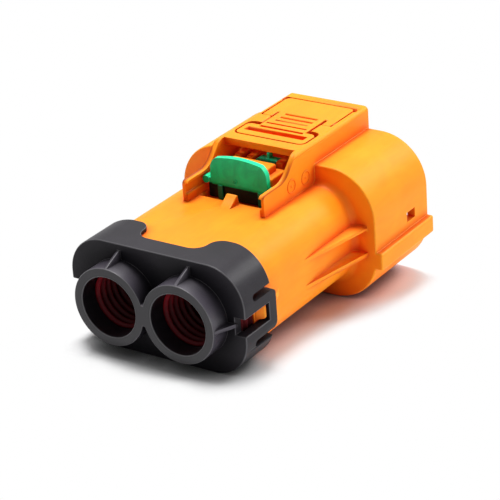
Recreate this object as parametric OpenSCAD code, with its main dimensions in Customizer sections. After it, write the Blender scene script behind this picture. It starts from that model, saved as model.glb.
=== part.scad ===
// Two-pole high voltage cable plug, in millimetres.
// X runs across the two poles, +Y points to the mating end and +Z to the latch side.
// Lengths are worked out from the rim of the cable collars and heights from the cable axes.
// The finished part stands on the underside of its hood, with the origin in the middle of its footprint.

/* [Plug] */
// Length of the plug, from the collar rims to the end of the latch guard
plug_len = 84.65; // [84.15:0.05:98.5]
// Distance between the two cable axes
pole_pitch = 20; // [19.6:0.1:23]
// Diameter of the contact pins of the mating header
pin_d = 8; // [6:0.1:8.4]
// Diameter of the cable that each entry takes
cable_d = 14.4; // [13.4:0.1:14.8]

/* [Rear cap] */
// Distance that the cable collars stand out of the cap
collar_len = 5.9; // [3:0.1:12]
// Wall of a cable collar
collar_t = 2.3; // [2.2:0.1:3]
// Play of the cable in its collar, all round
cable_play = 0.56; // [0.2:0.02:0.8]
// Height of the web that joins the two collars
collar_web_h = 5.6; // [3:0.1:9]
// Thickness of the end plate of the cap
cap_plate_t = 2.5; // [1.5:0.1:4]
// Side wall of the cap skirt
cap_side_t = 2.45; // [1.8:0.05:3.5]
// Top and bottom wall of the cap skirt
cap_top_t = 1; // [0.8:0.05:2]
// Depth of the side lobes of the skirt, from the end plate
lobe_len = 10.3; // [9.5:0.1:14]
// Depth of the skirt between the lobes, from the end plate
skirt_len = 3.3; // [2.4:0.1:5]
// Half the distance between the lobes
lobe_gap = 9.3; // [8.6:0.1:11]
// Radius of the curves where the skirt runs up to a lobe
lobe_r = 3.5; // [1.5:0.1:3.9]
// Distance that the lobe edges fall back towards the sides
lobe_drop = 1.6; // [0.4:0.1:2.5]
// Height of a latch loop on the side of the cap
loop_h = 10; // [8:0.1:12]
// Height of the window in a latch loop
loop_window_h = 4.4; // [3.6:0.1:5.4]
// Width of the slots beside a latch loop
loop_slot_w = 1.8; // [1:0.1:2.4]
// Width of the far bar of a latch loop
loop_bar_w = 2.7; // [2:0.1:3]
// Thickness of the stiffening ribs on the collars
collar_rib_t = 0.9; // [0.6:0.1:2]

/* [Wire seals] */
// Thickness of a wire seal between cable and sleeve
seal_t = 2.2; // [1.8:0.05:2.4]
// Length of a wire seal inside the sleeve
seal_len = 12.8; // [9:0.1:13.6]
// Number of lips along a wire seal
seal_lips = 4; // [2:1:5]

/* [Sleeve] */
// Side wall beside a seal bore
sleeve_side_t = 3; // [2.6:0.1:5]
// Wall above and below a seal bore
sleeve_top_t = 3.5; // [3.4:0.1:5]
// Corner radius of the sleeve
sleeve_r = 9; // [7:0.1:10]
// Distance from the collar rims to the rear end of the sleeve
sleeve_y = 13.2; // [12.4:0.1:14]
// Depth of the seal bores in the sleeve
seal_bore_len = 14.3; // [13.9:0.1:16]
// Side wall beside the contact cavity
cavity_side_t = 2.1; // [1.8:0.1:2.3]
// Radius of the root where the sleeve runs into the hood
root_r = 1.8; // [0.6:0.1:2.2]
// Thickness of the side gussets
gusset_t = 1.1; // [0.8:0.1:3]
// Length of the side gussets
gusset_len = 22.6; // [10:0.1:30]
// Height of the upper gussets above the cable axes
gusset_high = 3.2; // [1.8:0.1:4]
// Depth of the lower gussets below the cable axes
gusset_low = 3.75; // [1.8:0.05:4]

/* [Hood] */
// Length of the hood
hood_len = 26.05; // [25.6:0.05:32]
// Wall of the hood
hood_t = 2.2; // [1.8:0.1:3]
// Space for the header shroud at each side of the sleeve outline
hood_side_gap = 4.2; // [3.6:0.1:7]
// Space for the header shroud above the sleeve outline
hood_top_gap = 2.8; // [2.4:0.1:3.4]
// Space for the header shroud below the sleeve outline
hood_low_gap = 2.35; // [2:0.05:5]
// Corner radius of the hood
hood_r = 12.9; // [10:0.1:15]
// Length of the tower inside the hood, from the hood floor
tower_len = 9.7; // [9:0.1:10.2]
// Wall of the tower
tower_t = 1.3; // [1.1:0.05:1.5]
// Distance that the side rails stand out of the hood
rail_out = 1.65; // [0.8:0.05:4]
// Height of the side rails
rail_h = 4.6; // [2:0.1:6]
// Depth of the rail tops below the cable axes
rail_drop = 3; // [2:0.1:4]
// Distance from the side windows to the end of the hood
window_lead = 6.6; // [5:0.1:8]
// Length of the side windows in the hood
window_len = 4; // [2:0.1:6]
// Height of the side windows in the hood
window_h = 2.6; // [1.5:0.1:5]

/* [Latch guard] */
// Width of the latch guard
guard_w = 23.9; // [23.9:0.1:28]
// Thickness of the guard walls
guard_t = 1.5; // [1.2:0.05:1.5]
// Height of the guard roof above the top of the hood
guard_h = 5.73; // [5.4:0.05:7]
// Distance that the guard runs past the end of the hood
guard_over = 0.5; // [0:0.05:1]
// Thickness of the guard roof and of the lever
roof_t = 1.8; // [1.4:0.05:2]
// Height of the low front part of the guard walls above the sleeve
flank_h = 5.3; // [4.8:0.05:6]
// Distance from the front of the guard walls to the hood face
guard_lead = 22.85; // [22:0.05:23.2]
// Distance from the front edge of the roof to the hood face
roof_lead = 5.9; // [4:0.05:6.4]
// Distance from the start of the upward sweep to the front edge of the roof
sweep_lead = 9.8; // [8:0.1:11]
// Radius of the curves between the low walls and the roof
flank_r = 6; // [2:0.1:8]

/* [Latch lever] */
// Distance from the hood face to the hinge line of the lever
lever_pivot = 10.9; // [10.6:0.05:13]
// Length of the press pad ahead of the hinge line
pad_reach = 12.8; // [10:0.05:13]
// Length of the rear panel behind the hinge line
panel_reach = 12.3; // [11:0.05:12.4]
// Width of the grooves round the lever
lever_gap = 0.5; // [0.4:0.05:0.8]
// Width of a flexure strip
strip_w = 2.6; // [1.5:0.05:3]
// Half the width of the neck between pad and panel
neck_hw = 6.75; // [5:0.05:7]
// Number of grip grooves on the pad and neck
grip_grooves = 5; // [2:1:5]
// Distance between two grip grooves
grip_pitch = 2.3; // [1.4:0.05:2.4]
// Width of a grip groove
grip_w = 0.7; // [0.4:0.05:1.2]
// Width of the latch hook
hook_w = 8; // [4:0.1:10]
// Height of the latch hook below the panel
hook_h = 4.4; // [3:0.05:4.6]

/* [Locking slide] */
// Width of the finger tab
tab_w = 16.7; // [16:0.1:17.8]
// Height of the finger tab
tab_h = 8.45; // [7:0.05:8.8]
// Thickness of the finger tab
tab_t = 1.6; // [1:0.05:1.8]
// Distance from the front of the finger tab to the hood face
tab_lead = 15.8; // [15.4:0.05:16]
// Distance that the slide pulls out
slide_travel = 2.5; // [1.5:0.05:2.6]
// Width of the locking tongue
tongue_w = 5.8; // [3:0.1:7]
// Thickness of the locking tongue
tongue_t = 2.3; // [1.2:0.05:2.4]

/* [Contacts] */
// Wall of the contact socket
socket_t = 1.15; // [0.8:0.05:1.3]
// Depth of the contact socket
socket_len = 17; // [14:0.1:17.4]
// Sheet thickness of the contact cage
cage_t = 0.4; // [0.25:0.01:0.5]
// Outside diameter of the crimp barrel
crimp_d = 10.4; // [9:0.1:11]
// Bore of the crimp barrel
crimp_bore_d = 7.8; // [5:0.1:8.4]
// Thickness of the shield can
can_t = 0.5; // [0.3:0.05:0.6]
// Outside diameter of the outer ferrule
ferrule_d = 15.2; // [14.4:0.05:15.6]
// Length of cable that the ferrules take up
ferrule_len = 11; // [8:0.1:12]

/* [Hidden] */
$fn = 72;

// Clearances: between seated pieces, round the locking slide and between sealed inner pieces
seat_gap = 0.15;
slide_gap = 0.25;
inner_gap = 0.3;

// Depth that fused forms share, and reach of a cut past the face it opens
bond = 0.5;
cut = 0.5;

// Poles
pole_x = pole_pitch / 2;

// Wire seals and their bores
seal_relief = 0.5;
lip_squeeze = 0.35;
lip_depth = 0.75;
seal_bore_r = cable_d / 2 + seal_t;
seal_body_r = seal_bore_r - seal_relief;
seal_root_r = cable_d / 2 - lip_squeeze + lip_depth;
seal_end_gap = 0.1;
rib_r = 0.65;
rib_pitch = 3;
rib_lead = 1.6;
seal_ribs = 4;
seal_grooves = 2;
flange_gap = 0.3;
flange_groove = 0.7;
flange_land = 0.8;

// Sleeve outline
cavity_gap = 0.2;
cavity_corner_t = 1.6;
sleeve_hw = pole_x + seal_bore_r + sleeve_side_t;
sleeve_hh = seal_bore_r + sleeve_top_t;
cavity_hw = sleeve_hw - cavity_side_t;
cavity_hh = seal_bore_r + cavity_gap;
cavity_r = sleeve_r - cavity_corner_t;
cavity_y = sleeve_y + seal_bore_len;

// Locating tongues of the sleeve between the lobes of the cap
key_gap = 0.3;
key_reach = 1.5;
key_wall = 0.9;

// Rear cap
cap_y = collar_len;
plate_y = cap_y + cap_plate_t;
flange_len = sleeve_y - plate_y - 2 * seal_end_gap;
cap_hw = sleeve_hw + seat_gap + cap_side_t;
cap_hh = sleeve_hh + seat_gap + cap_top_t;
cap_r = sleeve_r + cap_top_t;
skirt_y = plate_y + skirt_len;
lobe_y = plate_y + lobe_len;
lobe_end = 5;
lobe_flat = 2;
collar_bore_r = cable_d / 2 + cable_play;
collar_r = collar_bore_r + collar_t;
collar_web_hw = 1;
collar_rib_reach = 2.6;
collar_rib_lead = 0.4;

// Latch loops of the cap, with their catches and guide ribs on the sleeve
loop_z = -0.3;
loop_lead = 1.4;
loop_over = 0.2;
loop_corner_r = 1.6;
loop_slot_y = plate_y + loop_lead;
loop_end_y = lobe_y + loop_over;
window_far_y = lobe_y - loop_bar_w;
catch_w = 3.5;
catch_out = 1.9;
catch_tip = 0.3;
catch_len = 2.2;
catch_flat = 0.7;
catch_gap = 0.2;
guide_t = 1.6;
guide_out = 1.1;
guide_gap = 0.9;
guide_len = 2.3;
guide_slope = 2.8;

// Hood
hood_y = plug_len - guard_over;
step_y = hood_y - hood_len;
hood_hw = sleeve_hw + hood_side_gap + hood_t;
hood_top = sleeve_hh + hood_top_gap + hood_t;
hood_low = sleeve_hh + hood_low_gap + hood_t;
floor_y = step_y + hood_t;
tower_y = floor_y + tower_len;
tower_hw = cavity_hw + tower_t;
tower_hh = cavity_hh + tower_t;
tower_r = cavity_r + tower_t;
window_z = -1;
window_y = hood_y - window_lead - window_len;
root_steps = 5;

// Latch guard
guard_hw = guard_w / 2;
guard_in = guard_hw - guard_t;
guard_root = 0.8;
guard_edge_r = 1.2;
guard_nose_r = 1;
nose_steps = 4;
sweep_steps = 8;
roof_top = hood_top + guard_h;
roof_low = roof_top - roof_t;
flank_top = sleeve_hh + flank_h;
guard_y0 = step_y - guard_lead;
roof_y0 = step_y - roof_lead;
guard_y1 = plug_len;

// Latch lever, with its distances from the hinge line
lever_side_gap = 0.35;
hinge_slit = 0.1;
pad_rear_lead = 6.25;
opening_lead = 4.6;
lever_r = 1.5;
panel_lead = 3.4;
hook_lead = 7.4;
hook_nose = 1.1;
hook_len = 4;
hook_slope_h = 0.6;
hook_play = 2;
relief_r = 1.3;
relief_in = 0.3;
relief_lead = 0.9;
hinge_y = step_y + lever_pivot;
pad_y = hinge_y - pad_reach;
pad_hw = guard_in - lever_side_gap;
pad_rear_y = hinge_y - pad_rear_lead;
opening_mid_y = hinge_y - opening_lead;
panel_y = hinge_y + panel_lead;
panel_rear_y = hinge_y + panel_reach;
strip_x = pad_hw - strip_w / 2 - 0.05;
hook_y = hinge_y + hook_lead;

// Grip on the press pad: a wide recess at the front and grooves behind it
recess_hw = 8.8;
recess_lead = 2.3;
recess_w = 2.2;
recess_floor = 0.5;
grip_lead = 5.8;
grip_depth = 0.9;
grip_hw = [6.4, 6, 4.8, 4.8, 4.8];

// Locking slide
tab_lift = 1.8;
tab_corner_r = 4;
tab_crown_r = 30;
tab_y = step_y - tab_lead;
tab_z = sleeve_hh + tab_lift;
tab_back_y = tab_y + tab_t;
tab_bevel = [0.8, 1.3];
ear_lift = 0.5;
ear_h = 2;
ear_web_h = 1.2;
ear_len = 1.2;
ear_reach = 0.45;
ear_z0 = tab_z + ear_lift;
ear_z1 = ear_z0 + ear_h;
ear_out = guard_in + ear_reach;
slot_out = ear_out + slide_gap;
slot_play = 0.8;
leg_x = 5.9;
leg_w = 1.4;
leg_inset = 0.2;
apron_t = 0.7;
apron_gap = 0.35;
tongue_lift = 3.1;
tongue_back = 0.6;
tongue_z = sleeve_hh + tongue_lift;
tongue_top = tongue_z + tongue_t;
tongue_end_y = step_y - tongue_back;
blade_t = 0.8;
blade_len = 2;
blade_h = 1.6;

// Guide block and teeth beside the locking tongue, and the rib that stops the slide
block_gap = 0.4;
block_lead = 8.2;
block_hw = 6.2;
block_h = 2.1;
shoulder_hw = 8.15;
shoulder_h = 0.2;
shoulder_len = 1.4;
block_y = tab_back_y + block_gap;
block_rear_y = step_y - block_lead;
shoulder_y = block_rear_y + shoulder_len;
tooth_w = 2;
tooth_len = 4.4;
tooth_h = 0.5;
tooth_gap = 0.5;
tooth_pitch = 3.6;
stop_gap = 0.3;
stop_w = 3.1;
stop_len = 4.2;
stop_flat = 0.6;
stop_h = 0.5;
stop_y = tab_y - slide_travel - stop_gap;

// Pocket in the sleeve under the finger tab
pocket_floor = 1.2;
slot_floor = 0.6;
pocket_side = 0.3;
pocket_gap = 0.05;
leg_gap = 0.4;

// Contact insulator and shield can
can_lead = 1;
can_over = 2.2;
core_lead = 14.5;
core_back = 5.15;
core_y = cavity_y + core_lead;
core_end = hood_y - core_back;
can_y = cavity_y + can_lead;
can_end = tower_y + can_over;
can_hw = cavity_hw - inner_gap;
can_hh = cavity_hh - inner_gap;
can_r = cavity_r - inner_gap;
core_hw = can_hw - can_t - inner_gap;
core_hh = can_hh - can_t - inner_gap;
core_r = can_r - can_t - inner_gap;
slit_len = 8;
slit_w = 0.6;
top_slit_pitch = 4;
top_slit_x = 12;
side_slit_pitch = 3;
core_key_w = 2.4;
core_key_h = 0.8;
core_key_lead = 0.8;
core_key_back = 1.5;

// Contacts
chamber_r = 6.3;
lip_t = 2.5;
pin_gap = 0.1;
cage_gap = 0.05;
hole_gap = 0.9;
funnel_out = 1.2;
funnel_len = 1;
crimp_lead = 1.5;
flange_t = 1.8;
flange_lead = 2.2;
barrel_gap = 0.6;
barrel_end_t = 2;
neck_step = 0.6;
lock_t = 2;
lock_gap = 0.2;
socket_slot_w = 0.8;
socket_slot_lead = 5;
pin_hole_r = pin_d / 2 + hole_gap;
socket_r = pin_d / 2 + pin_gap + cage_t + cage_gap + socket_t;
socket_end = core_end - lip_t - lock_gap;
socket_y = socket_end - socket_len;
flange_y = socket_y - flange_lead;
crimp_y = core_y + crimp_lead;
lock_y = flange_y - lock_t - lock_gap;
lock_side = 7.8;
lock_top = 2;
lock_low_gap = 0.1;
lock_bore_gap = 0.3;
cage_r = socket_r - socket_t - cage_gap;
cage_lead = 0.6;
cage_slot_w = 0.9;
cage_slot_lead = 3.6;
cage_slot_back = 3.4;

// Shield ferrules and the contact rings round them
ferrule_lead = 1.6;
ferrule_y = cavity_y + ferrule_lead;
ferrule_r = ferrule_d / 2;
outer_ferrule_t = 0.7;
braid_gap = 1.1;
inner_ferrule_t = 0.6;
inner_ferrule_r = ferrule_r - braid_gap;
ferrule_flange_t = 0.8;
inner_ferrule_room = 1;
outer_ferrule_room = 2;
spring_lead = 2;
spring_len = 6;
spring_crest = 0.8;
spring_t = 0.4;
spring_slot_w = 0.6;
spring_slot_lead = 1;
spring_slot_len = 4;
ring_out = can_hh - can_t - seat_gap;

// Interface seal and its retainer
iseal_lead = 0.2;
iseal_len = 6;
iseal_t = 1.1;
iseal_rib_h = 0.8;
iseal_rib_w = 0.8;
iseal_rib_lead = 0.7;
iseal_rib_pitch = 1.9;
iseal_ribs = 3;
iseal_gap = 0.05;
iseal_y = floor_y + iseal_lead;
retainer_y = iseal_y + iseal_len + iseal_lead;
retainer_over = 0.9;
retainer_t = 1.3;
retainer_gap = 0.1;
retainer_can_gap = 0.2;

// Interlock insert and its bridge contact
hvil_hw = 2.6;
hvil_hh = 4.6;
hvil_depth = 11;
hvil_set = 0.6;
hvil_pole_z = 2;
hvil_hole_r = 1.1;
hvil_tube_r = 0.95;
hvil_tube_bore_r = 0.55;
hvil_tube_lead = 1.7;
hvil_tube_len = 7;
bridge_lead = 1;
bridge_hw = 0.6;
bridge_t = 0.9;
bridge_hh = 2.9;
bridge_gap = 0.2;

// Places the finished part on its base plane, centred on its footprint
module seated() {
    translate([0, -plug_len / 2, hood_low]) children();
}

// Draws its children on the right side and mirrored on the left side
module both_sides() {
    children();
    mirror([1, 0, 0]) children();
}

// Draws its children on the upper side and mirrored on the lower side
module both_heights() {
    children();
    mirror([0, 0, 1]) children();
}

// Stands a turned shape on end along +Y, from station y on a pole axis
module along_y(x, y, z = 0) {
    translate([x, y, z]) rotate([-90, 0, 0]) children();
}

// Sweeps a cross-section drawn in X and Z between two stations
module prism_y(y0, y1) {
    translate([0, y1, 0]) rotate([90, 0, 0]) linear_extrude(y1 - y0) children();
}

// Sweeps a side profile drawn in Y and Z between two widths
module prism_x(x0, x1) {
    translate([x0, 0, 0]) rotate([90, 0, 90]) linear_extrude(x1 - x0) children();
}

// Rectangle with round corners, from its half width and its lower and upper edge
module round_rect(hw, z0, z1, r) {
    translate([-hw + r, z0]) square([2 * (hw - r), z1 - z0]);
    translate([-hw, z0 + r]) square([2 * hw, z1 - z0 - 2 * r]);
    for (sx = [-1, 1]) for (z = [z0 + r, z1 - r])
        translate([sx * (hw - r), z]) circle(r);
}

// Round rectangle that is centred on the cable axes and grown by a wall or clearance
module grown_rect(hw, hh, r, grow = 0) {
    round_rect(hw + grow, -hh - grow, hh + grow, r + grow);
}

// Hollow cylinder along +Z
module tube(r_out, r_in, h) {
    difference() {
        cylinder(r = r_out, h = h);
        translate([0, 0, -cut]) cylinder(r = r_in, h = h + 2 * cut);
    }
}

// Block from its lowest to its highest corner
module span(a, b) {
    translate(a) cube(b - a);
}

// Outer housing

// Sleeve that holds the seals and the contacts, with locating tongues above and below
module sleeve_shell() {
    prism_y(sleeve_y, floor_y) grown_rect(sleeve_hw, sleeve_hh, sleeve_r);
    both_heights()
        span([-lobe_gap + key_gap, skirt_y - key_reach, seal_bore_r + key_wall],
             [lobe_gap - key_gap, sleeve_y + bond, sleeve_hh]);
}

// Cross-section of the round root: outward distance from the sleeve and distance along it
function root_profile() = concat(
    [[-bond, 0]],
    [for (i = [0 : root_steps]) root_r * [1 - cos(i * 90 / root_steps), sin(i * 90 / root_steps)]],
    [[root_r, root_r + bond], [-bond, root_r + bond]]);

// Round root where the sleeve runs into the face of the hood
module sleeve_root() {
    y0 = step_y - root_r;
    flat_hw = sleeve_hw - sleeve_r;
    flat_hh = sleeve_hh - sleeve_r;
    both_heights() prism_x(-flat_hw, flat_hw)
        polygon([for (p = root_profile()) [y0 + p[1], sleeve_hh + p[0]]]);
    both_sides() {
        translate([0, 0, -flat_hh]) linear_extrude(2 * flat_hh)
            polygon([for (p = root_profile()) [sleeve_hw + p[0], y0 + p[1]]]);
        both_heights() along_y(flat_hw, y0, flat_hh) rotate([0, 0, -90])
            rotate_extrude(angle = 90)
                polygon([for (p = root_profile()) [sleeve_r + p[0], p[1]]]);
    }
}

// Hood with its floor, tower and side rails
module hood_shell() {
    difference() {
        prism_y(step_y, hood_y)
            round_rect(hood_hw, -hood_low, hood_top, hood_r);
        prism_y(floor_y, hood_y + cut)
            round_rect(hood_hw - hood_t, -hood_low + hood_t, hood_top - hood_t, hood_r - hood_t);
    }
    prism_y(floor_y - bond, tower_y) grown_rect(tower_hw, tower_hh, tower_r);
    both_sides()
        span([hood_hw - bond, step_y, -rail_drop - rail_h], [hood_hw + rail_out, hood_y, -rail_drop]);
}

// Thin wedges that stiffen the corner between sleeve and hood
module gussets() {
    both_sides() for (z = [gusset_high, -gusset_low])
        translate([0, 0, z - gusset_t / 2]) linear_extrude(gusset_t)
            polygon([[sleeve_hw - bond, step_y - gusset_len], [sleeve_hw, step_y - gusset_len],
                     [sleeve_hw + hood_side_gap, step_y + bond], [sleeve_hw - bond, step_y + bond]]);
}

// Catches for the cap loops, each with a guide rib behind its loop
module side_catches() {
    catch_y = window_far_y - catch_gap;
    guide_y = lobe_y + guide_gap;
    both_sides() {
        translate([0, 0, loop_z - catch_w / 2]) linear_extrude(catch_w)
            polygon([[sleeve_hw - bond, catch_y - catch_len], [sleeve_hw + catch_tip, catch_y - catch_len],
                     [sleeve_hw + catch_out, catch_y - catch_flat], [sleeve_hw + catch_out, catch_y],
                     [sleeve_hw - bond, catch_y]]);
        translate([0, 0, loop_z]) linear_extrude(guide_t)
            polygon([[sleeve_hw - bond, guide_y], [sleeve_hw + guide_out, guide_y],
                     [sleeve_hw + guide_out, guide_y + guide_len],
                     [sleeve_hw - bond, guide_y + guide_len + guide_slope]]);
    }
}

// Side profile of the latch guard: low front walls that sweep up to the roof
module guard_profile() {
    top_r = flank_r / 2;
    low_y = roof_y0 - sweep_lead;
    low_c = [low_y, flank_top + flank_r];
    top_c = [low_y + (roof_top - flank_top) + (flank_r + top_r) * (sqrt(2) - 1), roof_top - top_r];
    nose_c = [guard_y0 + guard_nose_r, flank_top - guard_nose_r];
    polygon(concat(
        [[guard_y0, sleeve_hh - guard_root]],
        [for (a = [0 : 90 / nose_steps : 90]) nose_c + guard_nose_r * [-cos(a), sin(a)]],
        [for (a = [0 : 45 / sweep_steps : 45]) low_c + flank_r * [sin(a), -cos(a)]],
        [for (a = [45 : -45 / sweep_steps : 0]) top_c + top_r * [-sin(a), cos(a)]],
        [[guard_y1, roof_top], [guard_y1, hood_top - guard_root], [step_y, hood_top - guard_root],
         [step_y, sleeve_hh - guard_root]]));
}

// Opening in the guard roof round the lever, with wider ends at its corners
module roof_opening() {
    wide = pad_hw + lever_gap;
    round_rect(wide, pad_y - lever_gap, opening_mid_y, lever_r + lever_gap);
    translate([-neck_hw - lever_gap, pad_rear_y])
        square([2 * (neck_hw + lever_gap), panel_y - pad_rear_y]);
    translate([-wide, hinge_y - hinge_slit])
        square([2 * wide, panel_rear_y - hinge_y + hinge_slit + lever_gap]);
    for (s = [-1, 1])
        translate([s * (pad_hw - relief_in), panel_rear_y - relief_lead]) circle(relief_r, $fn = 32);
}

// Latch guard: walls and roof, hollow below, with slots for the ears of the locking slide
module guard_shell() {
    difference() {
        intersection() {
            prism_x(-guard_hw, guard_hw) guard_profile();
            prism_y(guard_y0 - cut, guard_y1 + cut)
                round_rect(guard_hw, -hood_low, roof_top, guard_edge_r);
        }
        span([-guard_in, guard_y0 - cut, sleeve_hh], [guard_in, step_y, roof_low]);
        span([-guard_in, step_y - cut, hood_top], [guard_in, guard_y1 + cut, roof_low]);
        span([-guard_in, guard_y0 - cut, sleeve_hh], [guard_in, roof_y0, roof_top + cut]);
        translate([0, 0, roof_low - cut]) linear_extrude(roof_t + 2 * cut) roof_opening();
        both_sides()
            span([guard_in - cut, guard_y0 - cut, ear_z0 - slide_gap],
                 [slot_out, tab_back_y + ear_len + slot_play, ear_z1 + slide_gap]);
    }
}

// Stepped block that guides the tongue of the locking slide, with its tunnel
module guide_block() {
    difference() {
        union() {
            span([-block_hw, block_y, sleeve_hh - bond], [block_hw, block_rear_y, tongue_top + block_h]);
            span([-shoulder_hw, block_y, sleeve_hh - bond],
                 [shoulder_hw, shoulder_y, tongue_top + shoulder_h]);
        }
        span([-tongue_w / 2 - slide_gap, block_y - cut, tongue_z - slide_gap],
             [tongue_w / 2 + slide_gap, shoulder_y + cut, tongue_top + slide_gap]);
    }
}

// Teeth beside the free end of the locking tongue, under the press pad
module guide_teeth() {
    both_sides() for (i = [0, 1])
        translate([tongue_w / 2 + tooth_gap + i * tooth_pitch, 0, 0])
            span([0, step_y - tooth_len, sleeve_hh - bond], [tooth_w, step_y + bond, tongue_top + tooth_h]);
}

// Ramp rib that keeps the locking slide from coming out
module stop_rib() {
    prism_x(-stop_w / 2, stop_w / 2)
        polygon([[stop_y - stop_len, sleeve_hh - bond / 2], [stop_y, sleeve_hh - bond / 2],
                 [stop_y, tab_z + stop_h], [stop_y - stop_flat, tab_z + stop_h]]);
}

// Everything that is cut out of the housing: cavity, seal bores, pocket, latch slot and windows
module housing_cuts() {
    prism_y(cavity_y, tower_y + cut) grown_rect(cavity_hw, cavity_hh, cavity_r);
    both_sides() {
        along_y(pole_x, sleeve_y - cut) cylinder(r = seal_bore_r, h = seal_bore_len + 2 * cut);
        span([hood_hw - hood_t - cut, window_y, window_z],
             [hood_hw + cut, window_y + window_len, window_z + window_h]);
    }
    span([-guard_in + pocket_side, stop_y, cavity_hh + pocket_floor],
         [guard_in - pocket_side, block_y - pocket_gap, sleeve_hh + pocket_gap]);
    span([-hook_w / 2 - hook_play, hinge_y + 1, tower_hh + slot_floor],
         [hook_w / 2 + hook_play, guard_y1 + cut, hood_top + pocket_gap]);
}

module outer_housing() {
    color("#ff9a1f") seated() difference() {
        union() {
            sleeve_shell();
            sleeve_root();
            hood_shell();
            gussets();
            side_catches();
            guard_shell();
            guide_block();
            guide_teeth();
            stop_rib();
        }
        housing_cuts();
    }
}

// Latch lever

// Plan of the lever: press pad, neck, rear panel and the two flexure strips
module lever_plan() {
    round_rect(pad_hw, pad_y, pad_rear_y, lever_r);
    translate([-neck_hw, pad_y + bond]) square([2 * neck_hw, panel_rear_y - pad_y - 2 * bond]);
    translate([-pad_hw, panel_y]) square([2 * pad_hw, panel_rear_y - panel_y - 2 * lever_r]);
    round_rect(pad_hw, panel_y, panel_rear_y, lever_r);
    for (s = [-1, 1])
        translate([s * strip_x - strip_w / 2, hinge_y + hinge_slit])
            square([strip_w, panel_y - hinge_y]);
}

// Hook below the panel, upright to the cable end and sloped to the mating end
module lever_hook() {
    prism_x(-hook_w / 2, hook_w / 2)
        polygon([[hook_y, roof_low + bond], [hook_y, roof_low - hook_h],
                 [hook_y + hook_nose, roof_low - hook_h], [hook_y + hook_len, roof_low - hook_slope_h],
                 [hook_y + hook_len, roof_low + bond]]);
}

// Recess and grip grooves in the upper face of the press pad
module grip_cuts() {
    span([-recess_hw, pad_y + recess_lead, roof_low + recess_floor],
         [recess_hw, pad_y + recess_lead + recess_w, roof_top + cut]);
    for (i = [0 : grip_grooves - 1])
        translate([0, pad_y + grip_lead + i * grip_pitch, 0])
            span([-grip_hw[i], 0, roof_top - grip_depth], [grip_hw[i], grip_w, roof_top + cut]);
}

module latch_lever() {
    color("#ff9a1f") seated() {
        difference() {
            translate([0, 0, roof_low]) linear_extrude(roof_t) lever_plan();
            grip_cuts();
        }
        lever_hook();
    }
}

// Locking slide

// Finger tab seen from the cable end, with a gently crowned top edge
module tab_face() {
    intersection() {
        round_rect(tab_w / 2, tab_z - tab_corner_r, tab_z + tab_h, tab_corner_r);
        translate([0, tab_z + tab_h - tab_crown_r]) circle(tab_crown_r, $fn = 180);
        translate([-tab_w, tab_z]) square([2 * tab_w, 2 * tab_h]);
    }
}

// Slide with its tab, the ears that run in the guard walls, apron, legs and locking tongue
module cpa_slide() {
    ear_r = ear_h / 2;
    ear_mid_z = ear_z0 + ear_r;
    leg_z = cavity_hh + pocket_floor + leg_gap;
    apron_hw = guard_in - pocket_side - apron_gap;
    color("#2fa866") seated() {
        difference() {
            prism_y(tab_y, tab_back_y) tab_face();
            prism_x(-tab_w, tab_w)
                polygon([[tab_y - cut, tab_z - cut], [tab_y + tab_bevel[0], tab_z - cut],
                         [tab_y + tab_bevel[0], tab_z], [tab_y, tab_z + tab_bevel[1]],
                         [tab_y - cut, tab_z + tab_bevel[1]]]);
        }
        both_sides() {
            along_y(ear_out - ear_r, tab_y, ear_mid_z) cylinder(r = ear_r, h = tab_t + ear_len, $fn = 32);
            span([tab_w / 2 - bond, tab_y + leg_inset, ear_mid_z - ear_web_h / 2],
                 [ear_out - ear_r, tab_back_y, ear_mid_z + ear_web_h / 2]);
            span([leg_x - leg_w / 2, tab_y + leg_inset, leg_z],
                 [leg_x + leg_w / 2, tab_back_y, tab_z + bond]);
        }
        span([-apron_hw, tab_back_y - apron_t, leg_z], [apron_hw, tab_back_y, tab_z + bond]);
        span([-tongue_w / 2, tab_back_y - bond, tongue_z], [tongue_w / 2, tongue_end_y, tongue_top]);
        span([-blade_t / 2, tongue_end_y - blade_len, tongue_top - bond],
             [blade_t / 2, tongue_end_y, tongue_top + blade_h]);
    }
}

// Rear cap

// Part of the skirt between the lobes that is left open, in plan
module lobe_cut() {
    mid_y = skirt_y + lobe_r;
    end_y = lobe_y + lobe_end;
    translate([-(lobe_gap - lobe_r), skirt_y]) square([2 * (lobe_gap - lobe_r), end_y - skirt_y]);
    for (s = [-1, 1]) translate([s * (lobe_gap - lobe_r), mid_y]) circle(lobe_r);
    translate([-lobe_gap, mid_y]) square([2 * lobe_gap, end_y - mid_y]);
    difference() {
        translate([-lobe_gap - lobe_r, lobe_y - lobe_r])
            square([2 * (lobe_gap + lobe_r), end_y - lobe_y + lobe_r]);
        for (s = [-1, 1]) translate([s * (lobe_gap + lobe_r), lobe_y - lobe_r]) circle(lobe_r);
    }
}

// Slope of the lobe edges down to the sides of the cap, in plan
module lobe_slope() {
    in_x = lobe_gap + lobe_r - 0.1;
    out_x = cap_hw + cut;
    for (s = [-1, 1])
        polygon([[s * in_x, lobe_y], [s * (in_x + lobe_flat), lobe_y], [s * out_x, lobe_y - lobe_drop],
                 [s * out_x, lobe_y + lobe_end], [s * in_x, lobe_y + lobe_end]]);
}

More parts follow.
